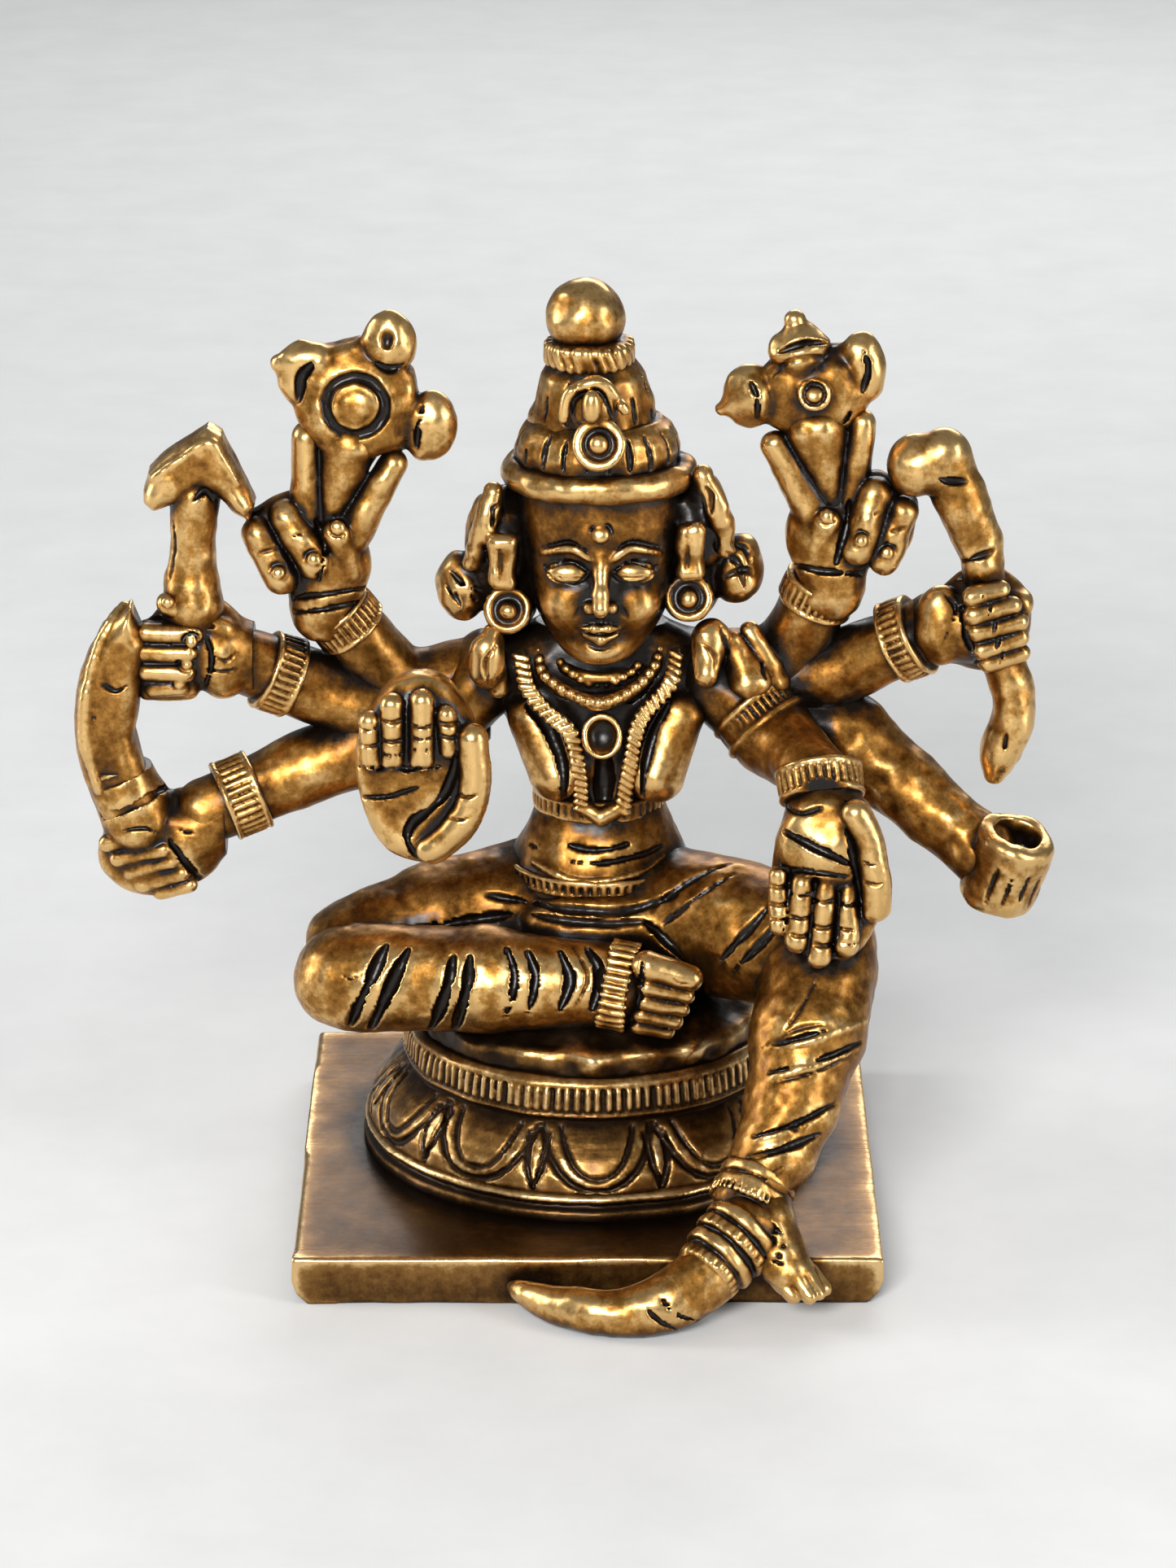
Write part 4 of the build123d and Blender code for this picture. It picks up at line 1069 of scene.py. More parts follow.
clay = Clay("bow_hand")
clay.add(egg((-0.01, 0.88, -0.04), (3.8, 2.0, 4.4)),
         bone((-0.71, 0.48, -0.04), (-3.61, 1.08, -0.94), 3.1, 2.9), blend=0.8)
clay.add(block((0.93, -0.02, -0.34), (2.3, 3.3, 1.2), axes_of((0, -1, 0), (0.3, 0, 1)), edge=1.0), blend=0.4)
clay.add(egg((-3.39, -0.52, -0.18), (2.2, 1.7, 3.3)), blend=0.25)
for start, end in (((-1.18, -1.92, 2.57), (1.14, -1.42, 3.08)), ((-1.04, -2.22, 1.19), (2.05, -1.62, 1.8)),
                   ((-0.75, -2.22, -0.28), (2.59, -1.62, 0.46)), ((-0.32, -2.02, -1.7), (2.77, -1.42, -0.89)),
                   ((0.25, -1.62, -2.98), (2.84, -1.02, -2.31))):
    clay.add(bone(start, end, 0.82, 0.76), blend=0.03)
    middle = (np.array(start) + end) / 2 - (0.3, 0, 0)
    clay.groove([middle + (0.1, 0, 0.6), middle - (0.1, 0, 0.6)], 0.25, 0.22)
clay.grooves(-2.12, (0.6, 0.6, (-1.83, 2.57), (-1.64, -0.12), (-0.35, -3.28)),
             (0.3, 0.25, (-3.37, 3.04), (-2.44, 1.56), (-3.4, -1.26)),
             (0.5, 0.4, (-2.25, 4.1), (-0.54, 4.64), (0.9, 5.57)),
             (0.3, 0.3, (-1.1, 4.1), (-0.87, 4.91)))
cast(clay.uneven(1.6, 0.1).uneven(0.7, 0.03))


def raised_hand(name, wrist, palm, fingers, wedge, bent, thumb, dots):
    """A hand with two fingers up in a V round a ribbon end, and the others bent on the palm."""
    clay = Clay(name)
    clay.add(bone(wrist, palm, 2.7, 2.6), egg(palm, (3.5, 2.2, 4.4)), blend=0.8)
    for start, end, low, high in fingers:
        clay.add(bone(start, end, low, high), blend=0.12)
    clay.add(bone(*wedge), blend=0.05)
    clay.add(egg((np.array(bent[0][0]) + bent[1][1]) / 2 + (0, 1.4, 0), (3.0, 1.7, 3.6)), blend=0.6)
    for start, end, wide in bent:
        clay.add(bone(start, end, wide), blend=0.04)
        (x, y, z), (i, _, k) = start, end
        clay.groove([(x * 0.55 + i * 0.45 + 0.9, y, z * 0.55 + k * 0.45 + 0.3),
                     (x * 0.55 + i * 0.45 - 0.9, y, z * 0.55 + k * 0.45 - 0.3)], 0.25, 0.16)
    clay.add(bone(*thumb, 1.35, 1.25), blend=0.1)
    for dot in dots:
        nail(clay, dot, 0.72)
    return clay


clay = raised_hand("discus_hand", (-0.37, 0.38, -7.16), (0.01, -0.12, -3.03),
                   [((-1.45, -0.52, 0.44), (-1.45, -0.72, 7.47), 1.45, 1.1),
                    ((1.85, -0.52, -0.56), (5.37, -0.72, 5.16), 1.8, 1.15),
                    ((-5.18, -0.12, 0.32), (-2.6, -0.12, 1.32), 1.2, 1.4)],
                   ((1.82, -0.42, 6.52), (0.35, -0.92, 0.56), 2.4, 0.9),
                   [((-5.26, -1.12, -0.37), (-3.51, -1.72, -3.73), 1.4),
                    ((-3.06, -1.32, 0.96), (-0.92, -2.02, -2.43), 1.4)],
                   ((1.7, -0.92, -3.45), (0.89, -1.72, -0.19)),
                   line(-2.52, (-3.65, -3.2), (-0.89, -2.13), (0.99, 0.53)))
clay.groove(line(-2.52, (-0.71, 1.06), (-0.11, -0.8), (-0.54, -3.74)), 0.7, 0.7)
for curve in (line(-2.52, (-2.5, -6.42), (-0.06, -6.15), (2.88, -5.48)),
              line(-2.52, (-3.11, -5.28), (-0.17, -4.94), (2.9, -4.41))):
    clay.groove(curve, 0.4, 0.35, fade=False)
cast(clay.uneven(1.5, 0.12).uneven(0.7, 0.04))

clay = raised_hand("conch_hand", (-0.23, 0.38, -6.83), (-0.41, -0.12, -2.36),
                   [((-1.74, -0.52, -0.03), (-4.87, -0.72, 5.34), 1.7, 1.15),
                    ((1.18, -0.52, 0.97), (1.96, -0.72, 6.99), 1.4, 1.05),
                    ((3.04, -0.12, 1.51), (5.3, -0.12, 0.05), 1.5, 1.2)],
                   ((-1.63, -0.42, 6.38), (-0.49, -0.92, 0.96), 2.5, 1.0),
                   [((2.92, -1.32, 1.35), (1.68, -2.02, -2.69), 1.45),
                    ((5.12, -1.12, -0.04), (3.76, -1.52, -3.79), 1.35)],
                   ((-1.57, -0.92, -4.38), (-0.76, -1.82, -0.76)),
                   line(-2.52, (-0.86, -0.01), (1.84, -2.07), (3.96, -3.07)))
clay.groove(line(-2.52, (0.96, 1.25), (0.74, -0.94), (0.02, -3.87)), 0.7, 0.7)
clay.groove(line(-2.52, (-3.03, -4), (-1.11, -4.54), (2.07, -4.67)), 0.45, 0.4, fade=False)
cast(clay.uneven(1.5, 0.12).uneven(0.7, 0.04))

clay = Clay("blessing_hand")
face_out = axes_of((0, -1, 0.1))
clay.add(drum((0.2, 0.7, 0), 4.95, 1.5, face_out, edge=1.2, squash=1.56))
clay.add(egg((0.2, 0.3, 0.6), (4.5, 2.0, 6.9)), blend=0.5)
clay.groove(line(-2.02, (-4.91, -1.97), (-4.19, -4.87), (-2.19, -7.04), (0.21, -7.58), (2.75, -6.36)), 0.6,
            0.45)
for start, end, wide in (((-3.59, -1.32, 4.4), (-3.5, -1.32, 1.2), 0.82),
                         ((-1.81, -1.42, 5.77), (-1.86, -1.42, 1.37), 0.95),
                         ((0.46, -1.42, 6.04), (0.41, -1.42, 1.37), 1.0),
                         ((2.33, -1.22, 4.9), (2.55, -1.22, 2.1), 0.85)):
    clay.add(bone(start, end, wide), blend=0.04)
for spot in ((-3.63, -2.02, 3.98), (-3.59, -2.02, 2.65), (-1.8, -2.02, 4.58), (-1.82, -2.02, 2.98),
             (-1.83, -2.02, 1.85), (0.52, -2.02, 4.18), (0.51, -2.02, 3.18), (0.5, -2.02, 2.25),
             (2.53, -2.02, 4.38), (2.65, -2.02, 3.32)):
    joint_line(clay, spot, 0.72)
clay.groove(line(-2.02, (-4.49, 0.91), (-1.34, 0.78), (1.81, 0.91)), 0.55, 0.5)
clay.add(*rope(smooth_path([(4.32, -1.22, 2.9), (4.56, -1.32, 0.12), (4.16, -1.32, -2.57),
                            (2.75, -1.32, -4.86), (1.09, -1.22, -6.25)], 4), 1.25), blend=0.12)
clay.grooves(-2.02, (0.85, 0.7, (3.08, 2.05), (2.81, 0.38), (2.1, -1.3), (0.83, -2.65), (-0.38, -3.79),
                     (-0.78, -5.14), (-0.03, -6.63)),
             (0.32, 0.25, (-4.72, -1.64), (-2, -1.5), (1.04, -0.43)),
             (0.26, 0.2, (3.05, -1.3), (3.93, -1.64), (4.81, -1.37)),
             (0.26, 0.2, (2.27, -3.25), (3.41, -3.52), (4.42, -3.12)))
for turn in round_turns(9):
    clay.groove([(cos(turn) * r, 0, sin(turn) * r * 1.5) for r in (1.2, 2.4, 3.6)], 0.4, 0.16, (0, 1, 0))
cast(clay.uneven(1.9, 0.12).uneven(0.7, 0.03))

clay = Clay("giving_hand")
clay.add(drum((0.1, 0.4, 0), 4.5, 1.6, axes_of((0, -1, 0.25)), edge=1.2, squash=1.55))
clay.add(egg((0.1, -0.3, 2.6), (4.2, 2.2, 4.2)), bone((-0.3, 2.4, 6.0), (0, 0.4, 2.5), 2.9, 3.3), blend=0.7)
for start, end, wide in (((-3.91, -1.35, 0.74), (-3.77, -2.15, -3.23), 0.8),
                         ((-2.01, -1.55, 0.2), (-2.43, -2.35, -4.38), 1.0),
                         ((-0.24, -1.55, -0.07), (-0.7, -2.45, -5.71), 1.0),
                         ((1.55, -1.35, -0.55), (1.45, -2.25, -4.7), 1.0)):
    clay.add(bone(start, end, wide), blend=0.04)
for curve in (line(-2.75, (-3.02, 1.34), (-3.18, -1.1), (-3.65, -3.68)),
              line(-2.75, (-0.99, 0.93), (-1.26, -2.46), (-1.72, -5.86)),
              line(-2.75, (0.86, -0.42), (0.78, -3.48), (0.51, -6.41))):
    clay.groove(curve, 0.7, 0.8)
for spot in ((-3.89, -2.75, 0.26), (-3.87, -2.75, -1.23), (-3.86, -2.75, -2.46), (-2.18, -2.75, -0.42),
             (-2.15, -2.75, -2.32), (-2.13, -2.75, -3.82), (-0.4, -2.75, -0.96), (-0.37, -2.75, -3.13),
             (-0.35, -2.75, -4.63), (1.63, -2.75, -1.23), (1.66, -2.75, -3.27), (1.68, -2.75, -4.5)):
    joint_line(clay, spot, 0.75)
clay.grooves(-2.75, (0.5, 0.5, (-4.48, 1.88), (-1.82, 1.61), (1.47, 1.07)),
             (0.75, 0.7, (-3.44, 4.84), (-1.22, 3.63), (1.58, 2.15)),
             (0.8, 0.8, (1.24, 7.32), (1.28, 4.98), (2.09, 1.61), (2.64, -1.1)),
             (0.4, 0.3, (-3.46, 6.99), (-2.2, 6.32), (-0.64, 6.85)))
clay.add(*rope(smooth_path([(2.07, -1.55, 5.87), (3.11, -1.85, 3.63), (3.65, -2.05, 0.67),
                            (3.7, -2.05, -1.78)], 4), 1.15), blend=0.1)
for spot in ((3.53, -2.75, 2.15), (3.62, -2.75, 0.53)):
    joint_line(clay, spot, 0.8)
cast(clay.uneven(1.8, 0.14).uneven(0.7, 0.04))

# ---------------------------------------------------------------- what the hands hold
clay = Clay("cup")
tilt = axes_of((0.27, -0.24, 0.93), (0, 1, 0))
clay.add(drum(-tilt[2] * 0.2, 3.15, 3.2, tilt, edge=0.6))
clay.add(egg(-tilt[2] * 2.0, (3.1, 3.1, 2.0), tilt), blend=0.4)
clay.cut(drum(tilt[2] * 2.6, 2.0, 1.9, tilt, edge=0.4), blend=0.2)
for turn in np.arange(7) * 0.42 - 0.6:
    out = tilt[0] * cos(turn) - tilt[1] * sin(turn)
    clay.groove([out * 2.8 + tilt[2] * h for h in (1.2, 0, -2.2)], 0.42, 0.24, out)
cast(clay.uneven(1.8, 0.2).uneven(0.7, 0.06))

clay = Clay("axe")
clay.add(*rope([(-0.54, 0.4, -8.75), (-0.64, 0.2, -3.75), (-0.64, 0.2, -2.15), (-0.54, 0.1, 0.45),
                (-0.44, 0, 2.85), (-0.24, 0, 5.45)], [2.0, 2.5, 2.2, 1.75, 1.8, 2.0]), blend=0.3)
clay.add(outline([(-4.26, 6.02), (-3.83, 7.61), (-1.69, 9.46), (0.94, 11.11), (1.94, 10.52), (3.28, 7.88),
                  (4.49, 4.96), (3.95, 3.63), (2.82, 4.29), (1.2, 5.89), (0.32, 6.15), (-1.36, 5.09),
                  (-3.41, 4.43), (-4.15, 5.09)], 2.1, edge=1.5), blend=0.15)
clay.ridge(line(-1.2, (-3.26, 7.12), (-1.2, 8.57), (0.85, 9.89), (1.84, 8.97), (3.18, 6.59)), 0.7, 0.2)
clay.grooves(-1.2, (0.5, 0.4, (-0.4, 5.13), (0.64, 6.13), (1.26, 5.53)),
             (0.45, 0.3, (-1.96, 3.67), (-1.75, 1.68), (-2.33, -1.13)))
cast(clay.uneven(1.9, 0.14).uneven(0.8, 0.05))

clay = Clay("sword")
clay.add(outline([(0.75, 10.85), (-1.6, 8.9), (-2.7, 6.9), (-3.7, 3.8), (-3.95, 1.5), (-3.85, -1.2),
                  (-3.35, -4.0), (-1.9, -7.0), (0.6, -9.6), (3.4, -7.0), (1.6, -3.6), (0.75, 0.1),
                  (1.1, 2.0), (1.5, 5.0), (1.9, 7.8)], 2.2, edge=1.5), blend=0.2)
clay.ridge(line(-1.5, (0.14, 10.95), (-1.73, 7.92), (-2.75, 3.87), (-3, -0.21), (-2.09, -4.31)), 1.0, 0.25)
clay.grooves(-2.5, (0.35, 0.25, (-1.49, 4.76), (-0.48, 4.28), (0.43, 4.76)),
             (0.3, 0.15, (-2.47, 1.92), (-2.08, 2.19)))
cast(clay.uneven(2.0, 0.16).uneven(0.8, 0.04))

clay = Clay("bow")
clay.add(*rope(smooth_path([(-1.69, 0, 11.18), (-0.09, 0, 8.18), (1.31, 0, 3.98), (1.91, 0, -0.82),
                            (3.71, -0.2, -5.82), (4.01, -0.4, -8.82), (3.11, -0.4, -11.42),
                            (2.61, -0.4, -13.62)], 3),
               list(np.interp(np.arange(22), [0, 3, 6, 9, 12, 15, 18, 21],
                              [2.1, 2.0, 1.7, 1.5, 1.6, 1.7, 1.5, 0.95]))), blend=0.4)
clay.add(egg((-3.96, -0.3, 11.98), (2.5, 2.0, 2.5)), egg((-1.94, -0.3, 12.37), (2.2, 2.0, 2.6)), blend=0.6)
clay.grooves(-1.4, (0.45, 0.4, (-2.87, 11.45), (-1.66, 10.99), (-0.33, 10.99)),
             (0.4, 0.25, (-5.64, 10.46), (-4.48, 9.66), (-2.58, 9.66)),
             (0.5, 0.35, (-0.56, 4.47), (1.02, 4.87), (2.09, 5.41)),
             (1.1, 0.8, (0.63, -5.49), (1.63, -7.12), (1.02, -8.69)))
clay.add(egg((4.01, -0.2, -11.5), (0.9, 1.0, 1.3)), blend=0.15)
clay.groove(line(-1.4, (3.37, -9.84), (3.15, -11.42), (2.54, -12.79)), 0.4, 0.3)
cast(clay.uneven(2.0, 0.18).uneven(0.8, 0.05))

clay = Clay("discus")
disc_out = axes_of((0, -1, 0.1))
middle = np.array((-0.66, -1.15, 0.15))
clay.add(outline([(-4.69, 3.4), (-3.41, 4.45), (-0.38, 5.1), (2.13, 4.45), (3.74, 2.49), (4.6, 0),
                  (3.81, -2.96), (2.79, -3.95), (-0.51, -4.35), (-2.91, -3.62), (-4.41, -1.97), (-5, 0)],
                 1.5, edge=0.9))
clay.add(egg(middle, (4.9, 4.5, 1.75), disc_out), blend=0.4)
clay.cut(hoop(middle + disc_out[2] * 1.6, 2.3, 2.3, 0.5, disc_out), blend=0.08)
clay.add(egg(middle + disc_out[2] * 0.9, (1.85, 1.85, 1.15), disc_out), blend=0.05)
clay.add(egg((-4.76, -0.65, 2.44), (2.1, 1.5, 2.7)),
         bone((-6.45, -0.65, 3.16), (-3.61, -0.65, 3.49), 0.9, 1.5), blend=0.4)
clay.groove(line(-1.75, (-3.42, 3.93), (-4.71, 2.49), (-5.12, 0.52)), 0.7, 0.6)
clay.add(egg((1.91, -0.65, 4.79), (2.2, 1.5, 2.6)), blend=0.15)
clay.groove(line(-1.75, (0.98, 3.54), (2.11, 3.14), (3.13, 3.54)), 0.6, 0.4)
clay.cut(egg((1.9, -2.15, 5.47), (0.6, 0.5, 0.9)), blend=0.2)
clay.add(egg((4.94, -0.65, -1.77), (2.3, 1.5, 2.8)), blend=0.3)
clay.groove(line(-1.75, (4.6, 0), (4.21, -1.64), (4.06, -3.29)), 0.6, 0.5)
cast(clay.uneven(1.8, 0.18).uneven(0.7, 0.06))

clay = Clay("conch")
clay.add(outline([(-3.79, -1.22), (-3.43, 1.27), (-2.06, 2.71), (1.84, 3.1), (3.85, 3.23), (4.52, 0.75),
                  (3.8, -1.22), (2.57, -3.85), (1.46, -5.96), (0.05, -4.91), (-2.5, -3.06)], 1.5, edge=0.9))
clay.add(egg((0.53, -1.03, -0.27), (4.6, 1.7, 3.6)), blend=0.4)
clay.add(bone((-0.52, -0.73, 3.44), (-0.86, -0.73, 5.27), 2.4, 0.9),
         bone((0.37, -0.73, 3.18), (-1.66, -0.73, 3.31), 1.3), blend=0.3)
clay.groove(line(-1.83, (-2.26, 3.1), (-0.38, 3.75), (1.7, 4.01)), 0.55, 0.45)
clay.add(egg((-4.27, -0.73, -0.62), (2.2, 1.4, 2.6)),
         bone((-6.54, -0.73, -1.67), (-4.08, -0.73, -0.62), 0.6, 2.0), blend=0.4)
clay.groove(line(-1.83, (-4.31, 0.75), (-3.79, -0.7), (-3.78, -2.21)), 0.6, 0.5)
clay.add(egg((4.43, -0.73, 1.61), (1.9, 1.4, 2.9)), bone((2.9, -0.73, 2.4), (3.9, -0.73, 3.18), 1.0),
         blend=0.25)
clay.grooves(-1.83, (0.6, 0.5, (4.48, 3.23), (4.76, 1.73), (4.41, -0.04)),
             (0.6, 0.6, (2.93, -2.53), (3.3, -1.55)))
clay.boss((0.62, -1.83, -0.3), 1.3, 0.4, 0.7)
clay.groove(line(-1.83, (-2.55, 1.27), (-1.3, 2.32), (1.53, 2.71)), 0.4, 0.2)
cast(clay.uneven(1.8, 0.16).uneven(0.7, 0.06))

# ---------------------------------------------------------------- legs
clay = Clay("lap", grow=1.2, cell=0.19)
clay.add(*rope([(-3.41, 3.66, 1.04), (-12.41, 2.26, -0.56), (-18.81, 0.26, -1.96)], [5.3, 5.0, 4.4]),
         blend=1.0)
clay.add(*rope([(3.59, 2.06, 1.04), (11.59, -3.14, 1.04), (17.59, -7.74, 0.64)], [5.6, 5.4, 4.9]), blend=1.0)
clay.add(egg((0.09, 3.46, -1.46), (11, 8.4, 6.5)), blend=1.4)
clay.add(egg((0.59, -3.34, 1.44), (6, 2.6, 2.6)), blend=1.0)
clay.groove(line(-3.14, (-5.77, 2.41), (-2.52, 1.85), (0.73, 1.57), (3.98, 1.71)), 0.55, 0.5)
clay.groove([(-8.4, -1.14, 3.17), (-5.78, -2.14, 2.99), (-1.87, -3.14, 2.83), (2.68, -3.14, 2.69),
             (6.58, -2.14, 3.55)], 0.7, 0.5)
clay.groove([(-23.05, -2.14, -2.19), (-20.11, -3.14, -0.53), (-16.19, -3.14, 0.45), (-10.97, -3.14, 1.57),
             (-5.76, -4.14, 2.66)], 0.8, 0.8)
clay.groove([(4.29, -4.14, 1.89), (5.92, -4.14, 0.5), (7.86, -5.14, -1.2), (8.9, -6.14, -3.59)], 1.0, 1.0)
for curve in ([(4.62, -3.14, 2.69), (7.9, -1.14, 4.56), (10.87, 0.86, 5.2)],
              [(5.59, -4.14, 1.89), (8.53, -2.14, 3.55), (11.17, -0.14, 4.74)],
              [(10.08, -7.14, -0.05), (12.02, -6.14, 1.98), (14.32, -4.14, 3.98)],
              [(11.03, -8.14, -0.69), (13.61, -7.14, 2.03), (15.91, -5.14, 4.02)],
              line(-11.14, (13.22, -2.94), (14.8, -0.86), (16.7, 0.52)),
              line(-10.14, (12.91, -0.92), (14.69, 0.8), (16.41, 1.49))):
    clay.groove(curve, 0.5, 0.35)
for lean in np.arange(-6, 7):
    start = np.array((-6.91, 8.86, 4.54)) + (lean * 1.6, 0, 0)
    clay.groove([start, start + (lean * 0.3, 2.4, -3), start + (lean * 0.6, 3, -6)], 0.5, 0.3, (0, 1, 0.2))
cast(clay.uneven(2.6, 0.2).uneven(0.9, 0.07))

clay = Clay("folded_shin")
clay.add(*rope([(-8.92, 1.6, -0.55), (2.28, -1.6, 0.45), (12.48, -2.6, 0.45)], [4.35, 4.2, 3.3]), blend=0.8)
for curve in (line(-6.4, (-5.72, 5.09), (-6.77, 2.68), (-8.63, -1.61)),
              line(-6.4, (-3.94, 4.75), (-4.99, 2.34), (-7.09, -2.03)),
              line(-6.4, (-0.36, 4.06), (-0.7, 1.65), (-2.21, -1.89)),
              line(-6.4, (0.98, 4.2), (0.77, 1.65), (-0.28, -1.89)),
              line(-6.4, (3.86, 4.88), (4.49, 2.34), (3.7, -0.91)),
              line(-6.4, (5.52, 4.61), (6.15, 2.34), (5.5, -0.5)),
              line(-6.4, (8.08, 4.61), (8.84, 2.34), (8.07, -0.08)),
              line(-6.4, (10.25, 4.88), (11.27, 2.54), (10.63, -0.08))):
    clay.groove(curve, 1.2, 1.0)
clay.groove(line(-6.4, (9.03, 5.09), (10.25, 2.68), (9.35, 0.19)), 0.3, 0.2)
clay.groove(line(-3.4, (-9.22, 1.61), (-8.45, 1.19), (-7.41, 1.75)), 0.25, 0.16)
cast(clay.uneven(2.4, 0.16).uneven(0.8, 0.05))

clay = Clay("folded_anklet")
along = axes_of((1.9, -0.3, -0.3), (0, 1, 0))
clay.add(drum((0, 0, 0), 3.5, 1.0, along, edge=0.3))
for turn in round_turns(30):
    spot = spoke(along, turn) * 3.45
    clay.add(bone(spot - along[2] * 0.95, spot + along[2] * 0.95, 0.25), blend=0.05)
cast(clay.uneven(1.4, 0.1))

clay = Clay("folded_foot")
clay.add(bone((-2.28, 0.57, 0.49), (0.92, -0.03, -0.01), 3.1, 2.3), blend=0.3)
clay.add(bone((0.04, -2.03, 3.19), (3.38, -2.23, 2.3), 1.25, 1.05), blend=0.06)
for start, end in (((-0.09, -2.63, 1.63), (3.12, -2.43, 0.86)),
                   ((-0.22, -2.53, 0.48), (2.75, -2.33, -0.29)),
                   ((-0.47, -2.23, -0.75), (2.24, -2.03, -1.46)),
                   ((-0.72, -1.73, -1.93), (1.61, -1.53, -2.57))):
    clay.add(bone(start, end, 0.72, 0.62), blend=0.03)
clay.grooves(-3.43, (0.2, 0.14, (1.94, 2.92), (2.46, 2.37), (3.36, 2.23)),
             (0.7, 0.6, (-0.36, 4.3), (-0.49, 2.09), (-1.25, -1.09)))
cast(clay.uneven(1.4, 0.1).uneven(0.7, 0.03))

clay = Clay("pendant_shin")
clay.add(*rope([(1.43, 4.25, 5.31), (0.43, 0.65, 1.51), (-0.77, -2.35, -2.89), (-2.17, -4.55, -5.89),
                (-3.37, -5.95, -7.69)], [4.7, 4.45, 3.75, 3.2, 3.0]), blend=0.7)
clay.add(egg((2.73, 5.05, 7.91), (3.2, 3.6, 2.8)), blend=0.8)
for curve in (line(-3.35, (-2.23, 2.53), (0.8, 3.35), (5.08, 4.85)),
              line(-3.35, (-2.59, 0.19), (0.83, 1.08), (4.61, 2.66)),
              line(-3.35, (-3.87, -5.06), (-0.69, -4.09), (2.53, -2.43)),
              line(-3.35, (-4.3, -6.73), (-1.63, -6.03), (1.29, -4.92))):
    clay.groove(curve, 0.5, 0.42)
for curve in (line(-3.35, (-3.3, 2.11), (0.15, 4.03), (4.96, 4.03)),
              line(-3.35, (-2.32, -0.64), (0.84, 0.33), (3.74, 1.43)),
              line(-3.35, (-1.61, -7.42), (-2.88, -8.26), (-3.83, -9.1)),
              line(-3.35, (-1.61, 3.49), (-0.18, 5.54), (1.05, 7.92))):
    clay.groove(curve, 0.28, 0.14)
clay.ridge([(-1.85, -3.35, 2.25), (0.8, -3.35, 2.94), (4.88, -2.35, 4.03)], 0.5, 0.16, fade=True)
clay.ridge([(-2.33, -3.35, -0.08), (0.83, -3.35, 0.74), (4.29, -2.35, 1.7)], 0.5, 0.16, fade=True)
clay.ridge([(-3.61, -5.35, -4.6), (-0.77, -5.35, -3.64), (2.23, -4.35, -2.41)], 0.5, 0.16, fade=True)
cast(clay.uneven(2.6, 0.16).uneven(0.8, 0.06))

clay = Clay("pendant_anklet")
along = axes_of((-0.9, -1.4, -1.5), (1, 0, 0))
for shift, swell in ((-1.4, 3.0), (-0.3, 3.15), (0.9, 3.2)):
    clay.add(drum(along[2] * shift, swell, 0.52, along, edge=0.3), blend=0.05)
clay.add(drum((0, 0, 0), 2.85, 1.9, along, edge=0.3), blend=0.05)
for turn in round_turns(34):
    spot = spoke(along, turn) * 3.0
    clay.add(bone(spot + along[2] * 1.3, spot + along[2] * 1.75, 0.24), blend=0.05)
cast(clay.uneven(1.6, 0.16).uneven(0.7, 0.05))

clay = Clay("pendant_foot")
clay.add(*rope([(-1.5, 2.55, 2.5), (-0.7, 0.55, 0.5), (1.3, -1.85, -2.1)], [3.0, 2.6, 1.9]), blend=0.6)
for start, end in (((-0.9, -1.85, -0.92), (1.59, -3.45, -3.43)),
                   ((0.53, -2.15, -0.57), (2.9, -3.85, -3.38)),
                   ((1.68, -1.85, -1.13), (3.54, -3.45, -3.29)),
                   ((2.48, -1.05, -2.05), (3.96, -2.45, -3.34))):
    clay.add(bone(start, end, 0.75, 0.62), blend=0.04)
clay.groove([(-5.14, -1.25, 1.91), (-2.82, -2.25, 0.3), (0.66, -2.25, -1.22)], 0.55, 0.45)
clay.groove([(-2.81, -1.25, 2.74), (-0.63, -2.25, 2.02), (1.14, -2.25, 0.99)], 0.5, 0.4)
for spot in ((-0.08, -1.25, 0.26), (0.81, -1.25, -0.16), (0.44, -1.25, -0.92)):
    clay.cut(ball(clay.skin([spot])[0][0], 0.3), blend=0.1)
cast(clay.uneven(1.5, 0.16).uneven(0.7, 0.06))

clay = Clay("footrest_lotus")
along = axes_of((-4.2, -3.6, -3.3), (0, 0, 1))
clay.add(bone(-along[2] * 2.2, along[2] * 2.0, 3.0, 2.5), blend=0)
for shift, swell in ((-2.0, 3.35), (-0.7, 3.25), (0.7, 3.05), (2.0, 2.75)):
    clay.add(drum(along[2] * shift, swell, 0.55, along, edge=0.35), blend=0.06)
for row, swell in ((-0.7, 3.2), (2.0, 2.7)):
    for turn in round_turns(26):
        out = spoke(along, turn)
        clay.cut(bone(out * (swell + 0.12) + along[2] * (row - 0.5),
                      out * (swell + 0.12) + along[2] * (row + 0.5), 0.2), blend=0.05)
cast(clay.uneven(1.7, 0.18).uneven(0.7, 0.06))

clay = Clay("footrest_stem")
clay.add(*rope(smooth_path([(7.33, 0.53, 1.12), (4.53, -1.07, -0.18), (1.53, -1.77, -0.93),
                            (-2.47, -1.17, -1.13), (-5.87, 0.93, -1.13), (-7.97, 3.03, -1.03)], 4),
               list(np.interp(np.arange(21), [0, 4, 8, 12, 16, 20], [2.5, 2.2, 1.85, 1.6, 1.15, 0.45]))),
         blend=0.4)
for curve in ([(2.17, -1.27, -0.39), (3.55, -2.27, -1.43), (5.31, -2.27, -2.4)],
              [(3.3, -1.27, 0.44), (4.67, -2.27, -0.74), (6.69, -2.27, -1.57)]):
    clay.groove(curve, 0.5, 0.4)
cast(clay.uneven(2.4, 0.12).uneven(0.8, 0.05))

shop.open_up()

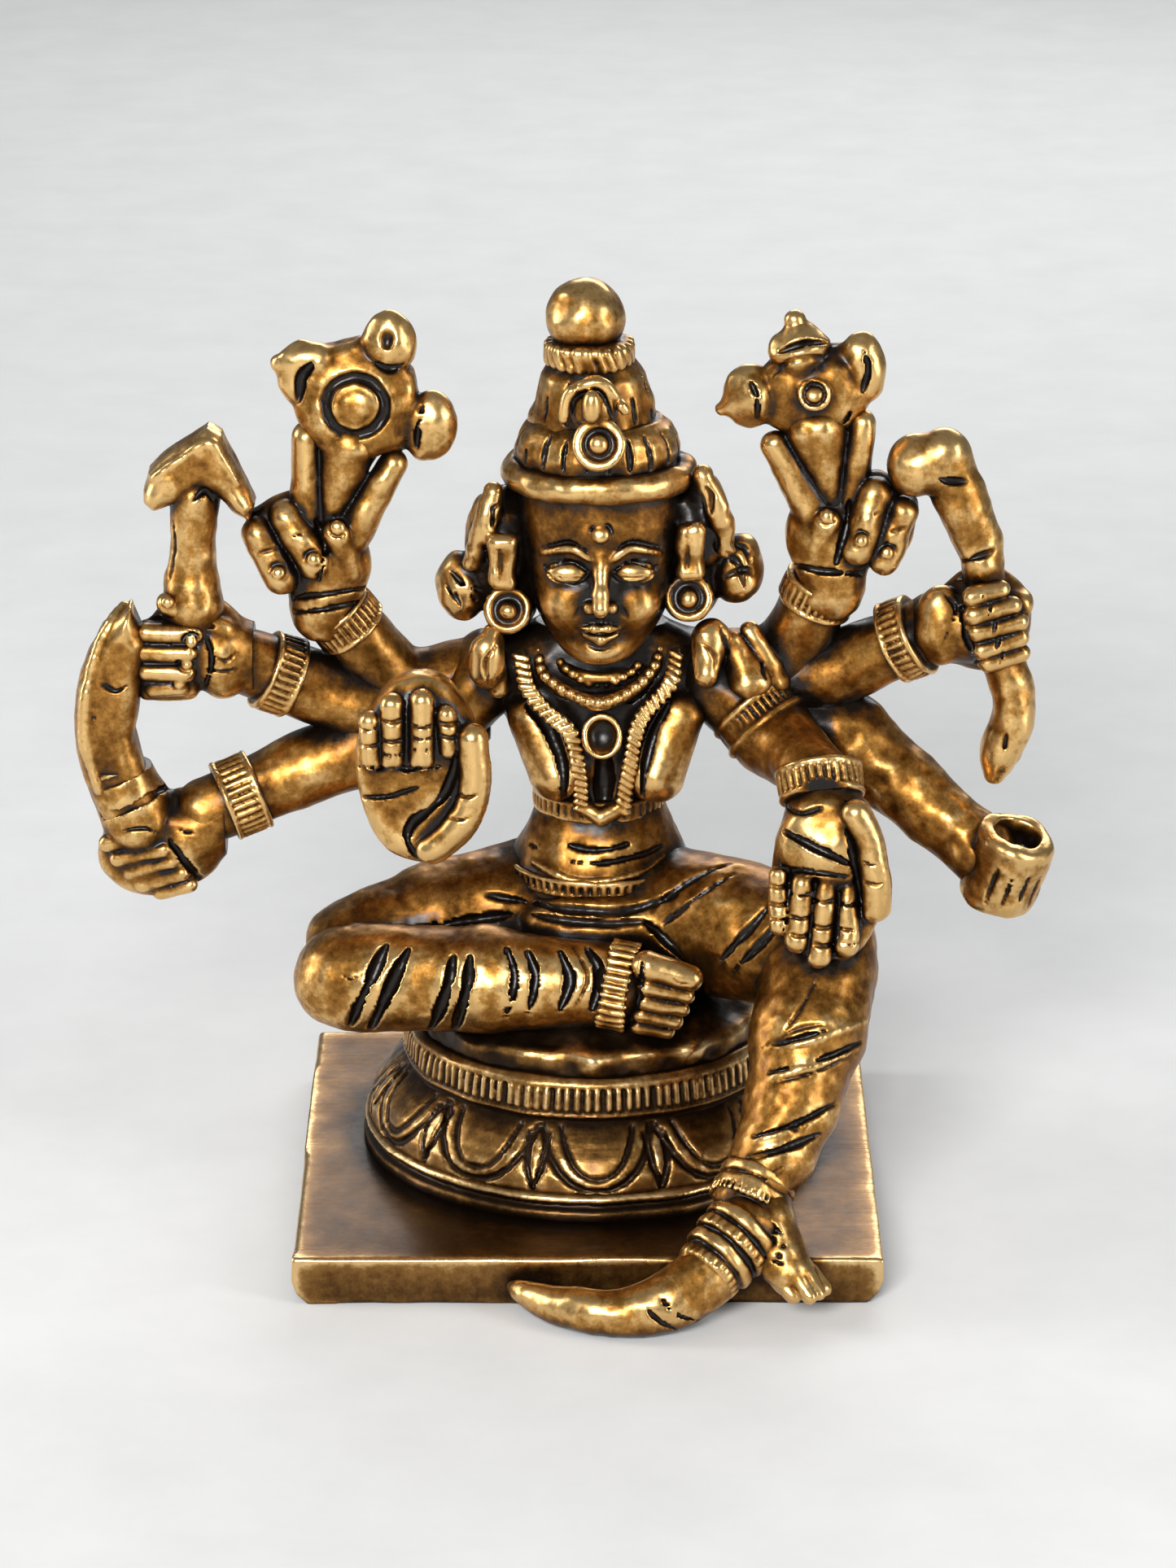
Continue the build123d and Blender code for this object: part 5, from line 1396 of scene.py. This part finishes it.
# ---------------------------------------------------------------- floor, light and camera
FLOOR_SPAN = 30  # how many times the figure's size the floor reaches each way
low, high = (Vector(corner) for corner in CAD_BOUNDS)
size = (high - low).length
data = bpy.data.meshes.new("floor_mesh")
corners = [(x * FLOOR_SPAN * size, y * FLOOR_SPAN * size, 0) for x, y in ((-1, -1), (1, -1), (1, 1), (-1, 1))]
data.from_pydata(corners, [], [(0, 1, 2, 3)])
floor = bpy.data.objects.new("floor", data)
bpy.context.scene.collection.objects.link(floor)
pale = bpy.data.materials.new("pale_floor")
pale.use_nodes = True
tree = pale.node_tree
grain = noise(tree, node(tree, "ShaderNodeTexCoord").outputs["Object"], 90)
link(tree, ramp(tree, grain, (0.3, (0.74, 0.74, 0.73)), (0.7, (0.79, 0.79, 0.78))),
     tree.nodes["Principled BSDF"].inputs["Base Color"])
tree.nodes["Principled BSDF"].inputs["Roughness"].default_value = 0.7
data.materials.append(pale)


def lamp(name, place, aim, wide, deep, watts, colour=(1, 1, 1)):
    """A soft rectangular light at place that faces aim."""
    light = bpy.data.lights.new(name, "AREA")
    light.shape, light.size, light.size_y, light.energy, light.color = "RECTANGLE", wide, deep, watts, colour
    stand = bpy.data.objects.new(name, light)
    stand.location = place
    stand.rotation_euler = (Vector(aim) - Vector(place)).to_track_quat("-Z", "Y").to_euler()
    bpy.context.scene.collection.objects.link(stand)


CHEST = (0, 0, 0.04)
lamp("key_light", (-0.1, -0.46, 0.27), CHEST, 0.2, 0.14, 2.7)
lamp("fill_light", (0.42, -0.25, 0.16), CHEST, 0.14, 0.3, 1.0)
lamp("side_light", (-0.42, 0.02, 0.16), CHEST, 0.12, 0.3, 0.9)
lamp("back_light", (0.1, 0.45, 0.3), CHEST, 0.4, 0.2, 1.1)

# a dim room, darker below and paler above, for the metal to reflect
world = bpy.data.worlds.new("studio")
bpy.context.scene.world = world
world.use_nodes = True
sky = world.node_tree
facing = node(sky, "ShaderNodeTexCoord").outputs["Generated"]
split = node(sky, "ShaderNodeSeparateXYZ")
link(sky, facing, split.inputs[0])
link(sky, ramp(sky, maths(sky, "ADD", maths(sky, "MULTIPLY", split.outputs["Z"], 0.5), 0.5),
               (0.0, (0.30, 0.30, 0.30)), (0.45, (0.42, 0.44, 0.46)), (0.6, (0.62, 0.68, 0.72)),
               (1.0, (0.85, 0.87, 0.9))), sky.nodes["Background"].inputs["Color"])
sky.nodes["Background"].inputs["Strength"].default_value = 0.3

bpy.context.scene.view_settings.view_transform = "Standard"

SENSOR, FOCAL = 36.0, 129.24  # millimetres
DISTANCE, TILT = 0.45, radians(20)  # from the camera to its aim, and how far it looks down
DROP = 0.00328  # how far under the middle of the figure it aims

lens = bpy.data.cameras.new("camera")
lens.sensor_fit, lens.sensor_width, lens.lens = "AUTO", SENSOR, FOCAL
lens.clip_start, lens.clip_end = 0.02, 20
camera = bpy.data.objects.new("camera", lens)
AIM = Vector((0, 0, (low.z + high.z) / 2 - DROP))
camera.location = AIM + Vector((0, -cos(TILT), sin(TILT))) * DISTANCE
camera.rotation_euler = (AIM - camera.location).to_track_quat("-Z", "Y").to_euler()
bpy.context.scene.collection.objects.link(camera)
bpy.context.scene.camera = camera
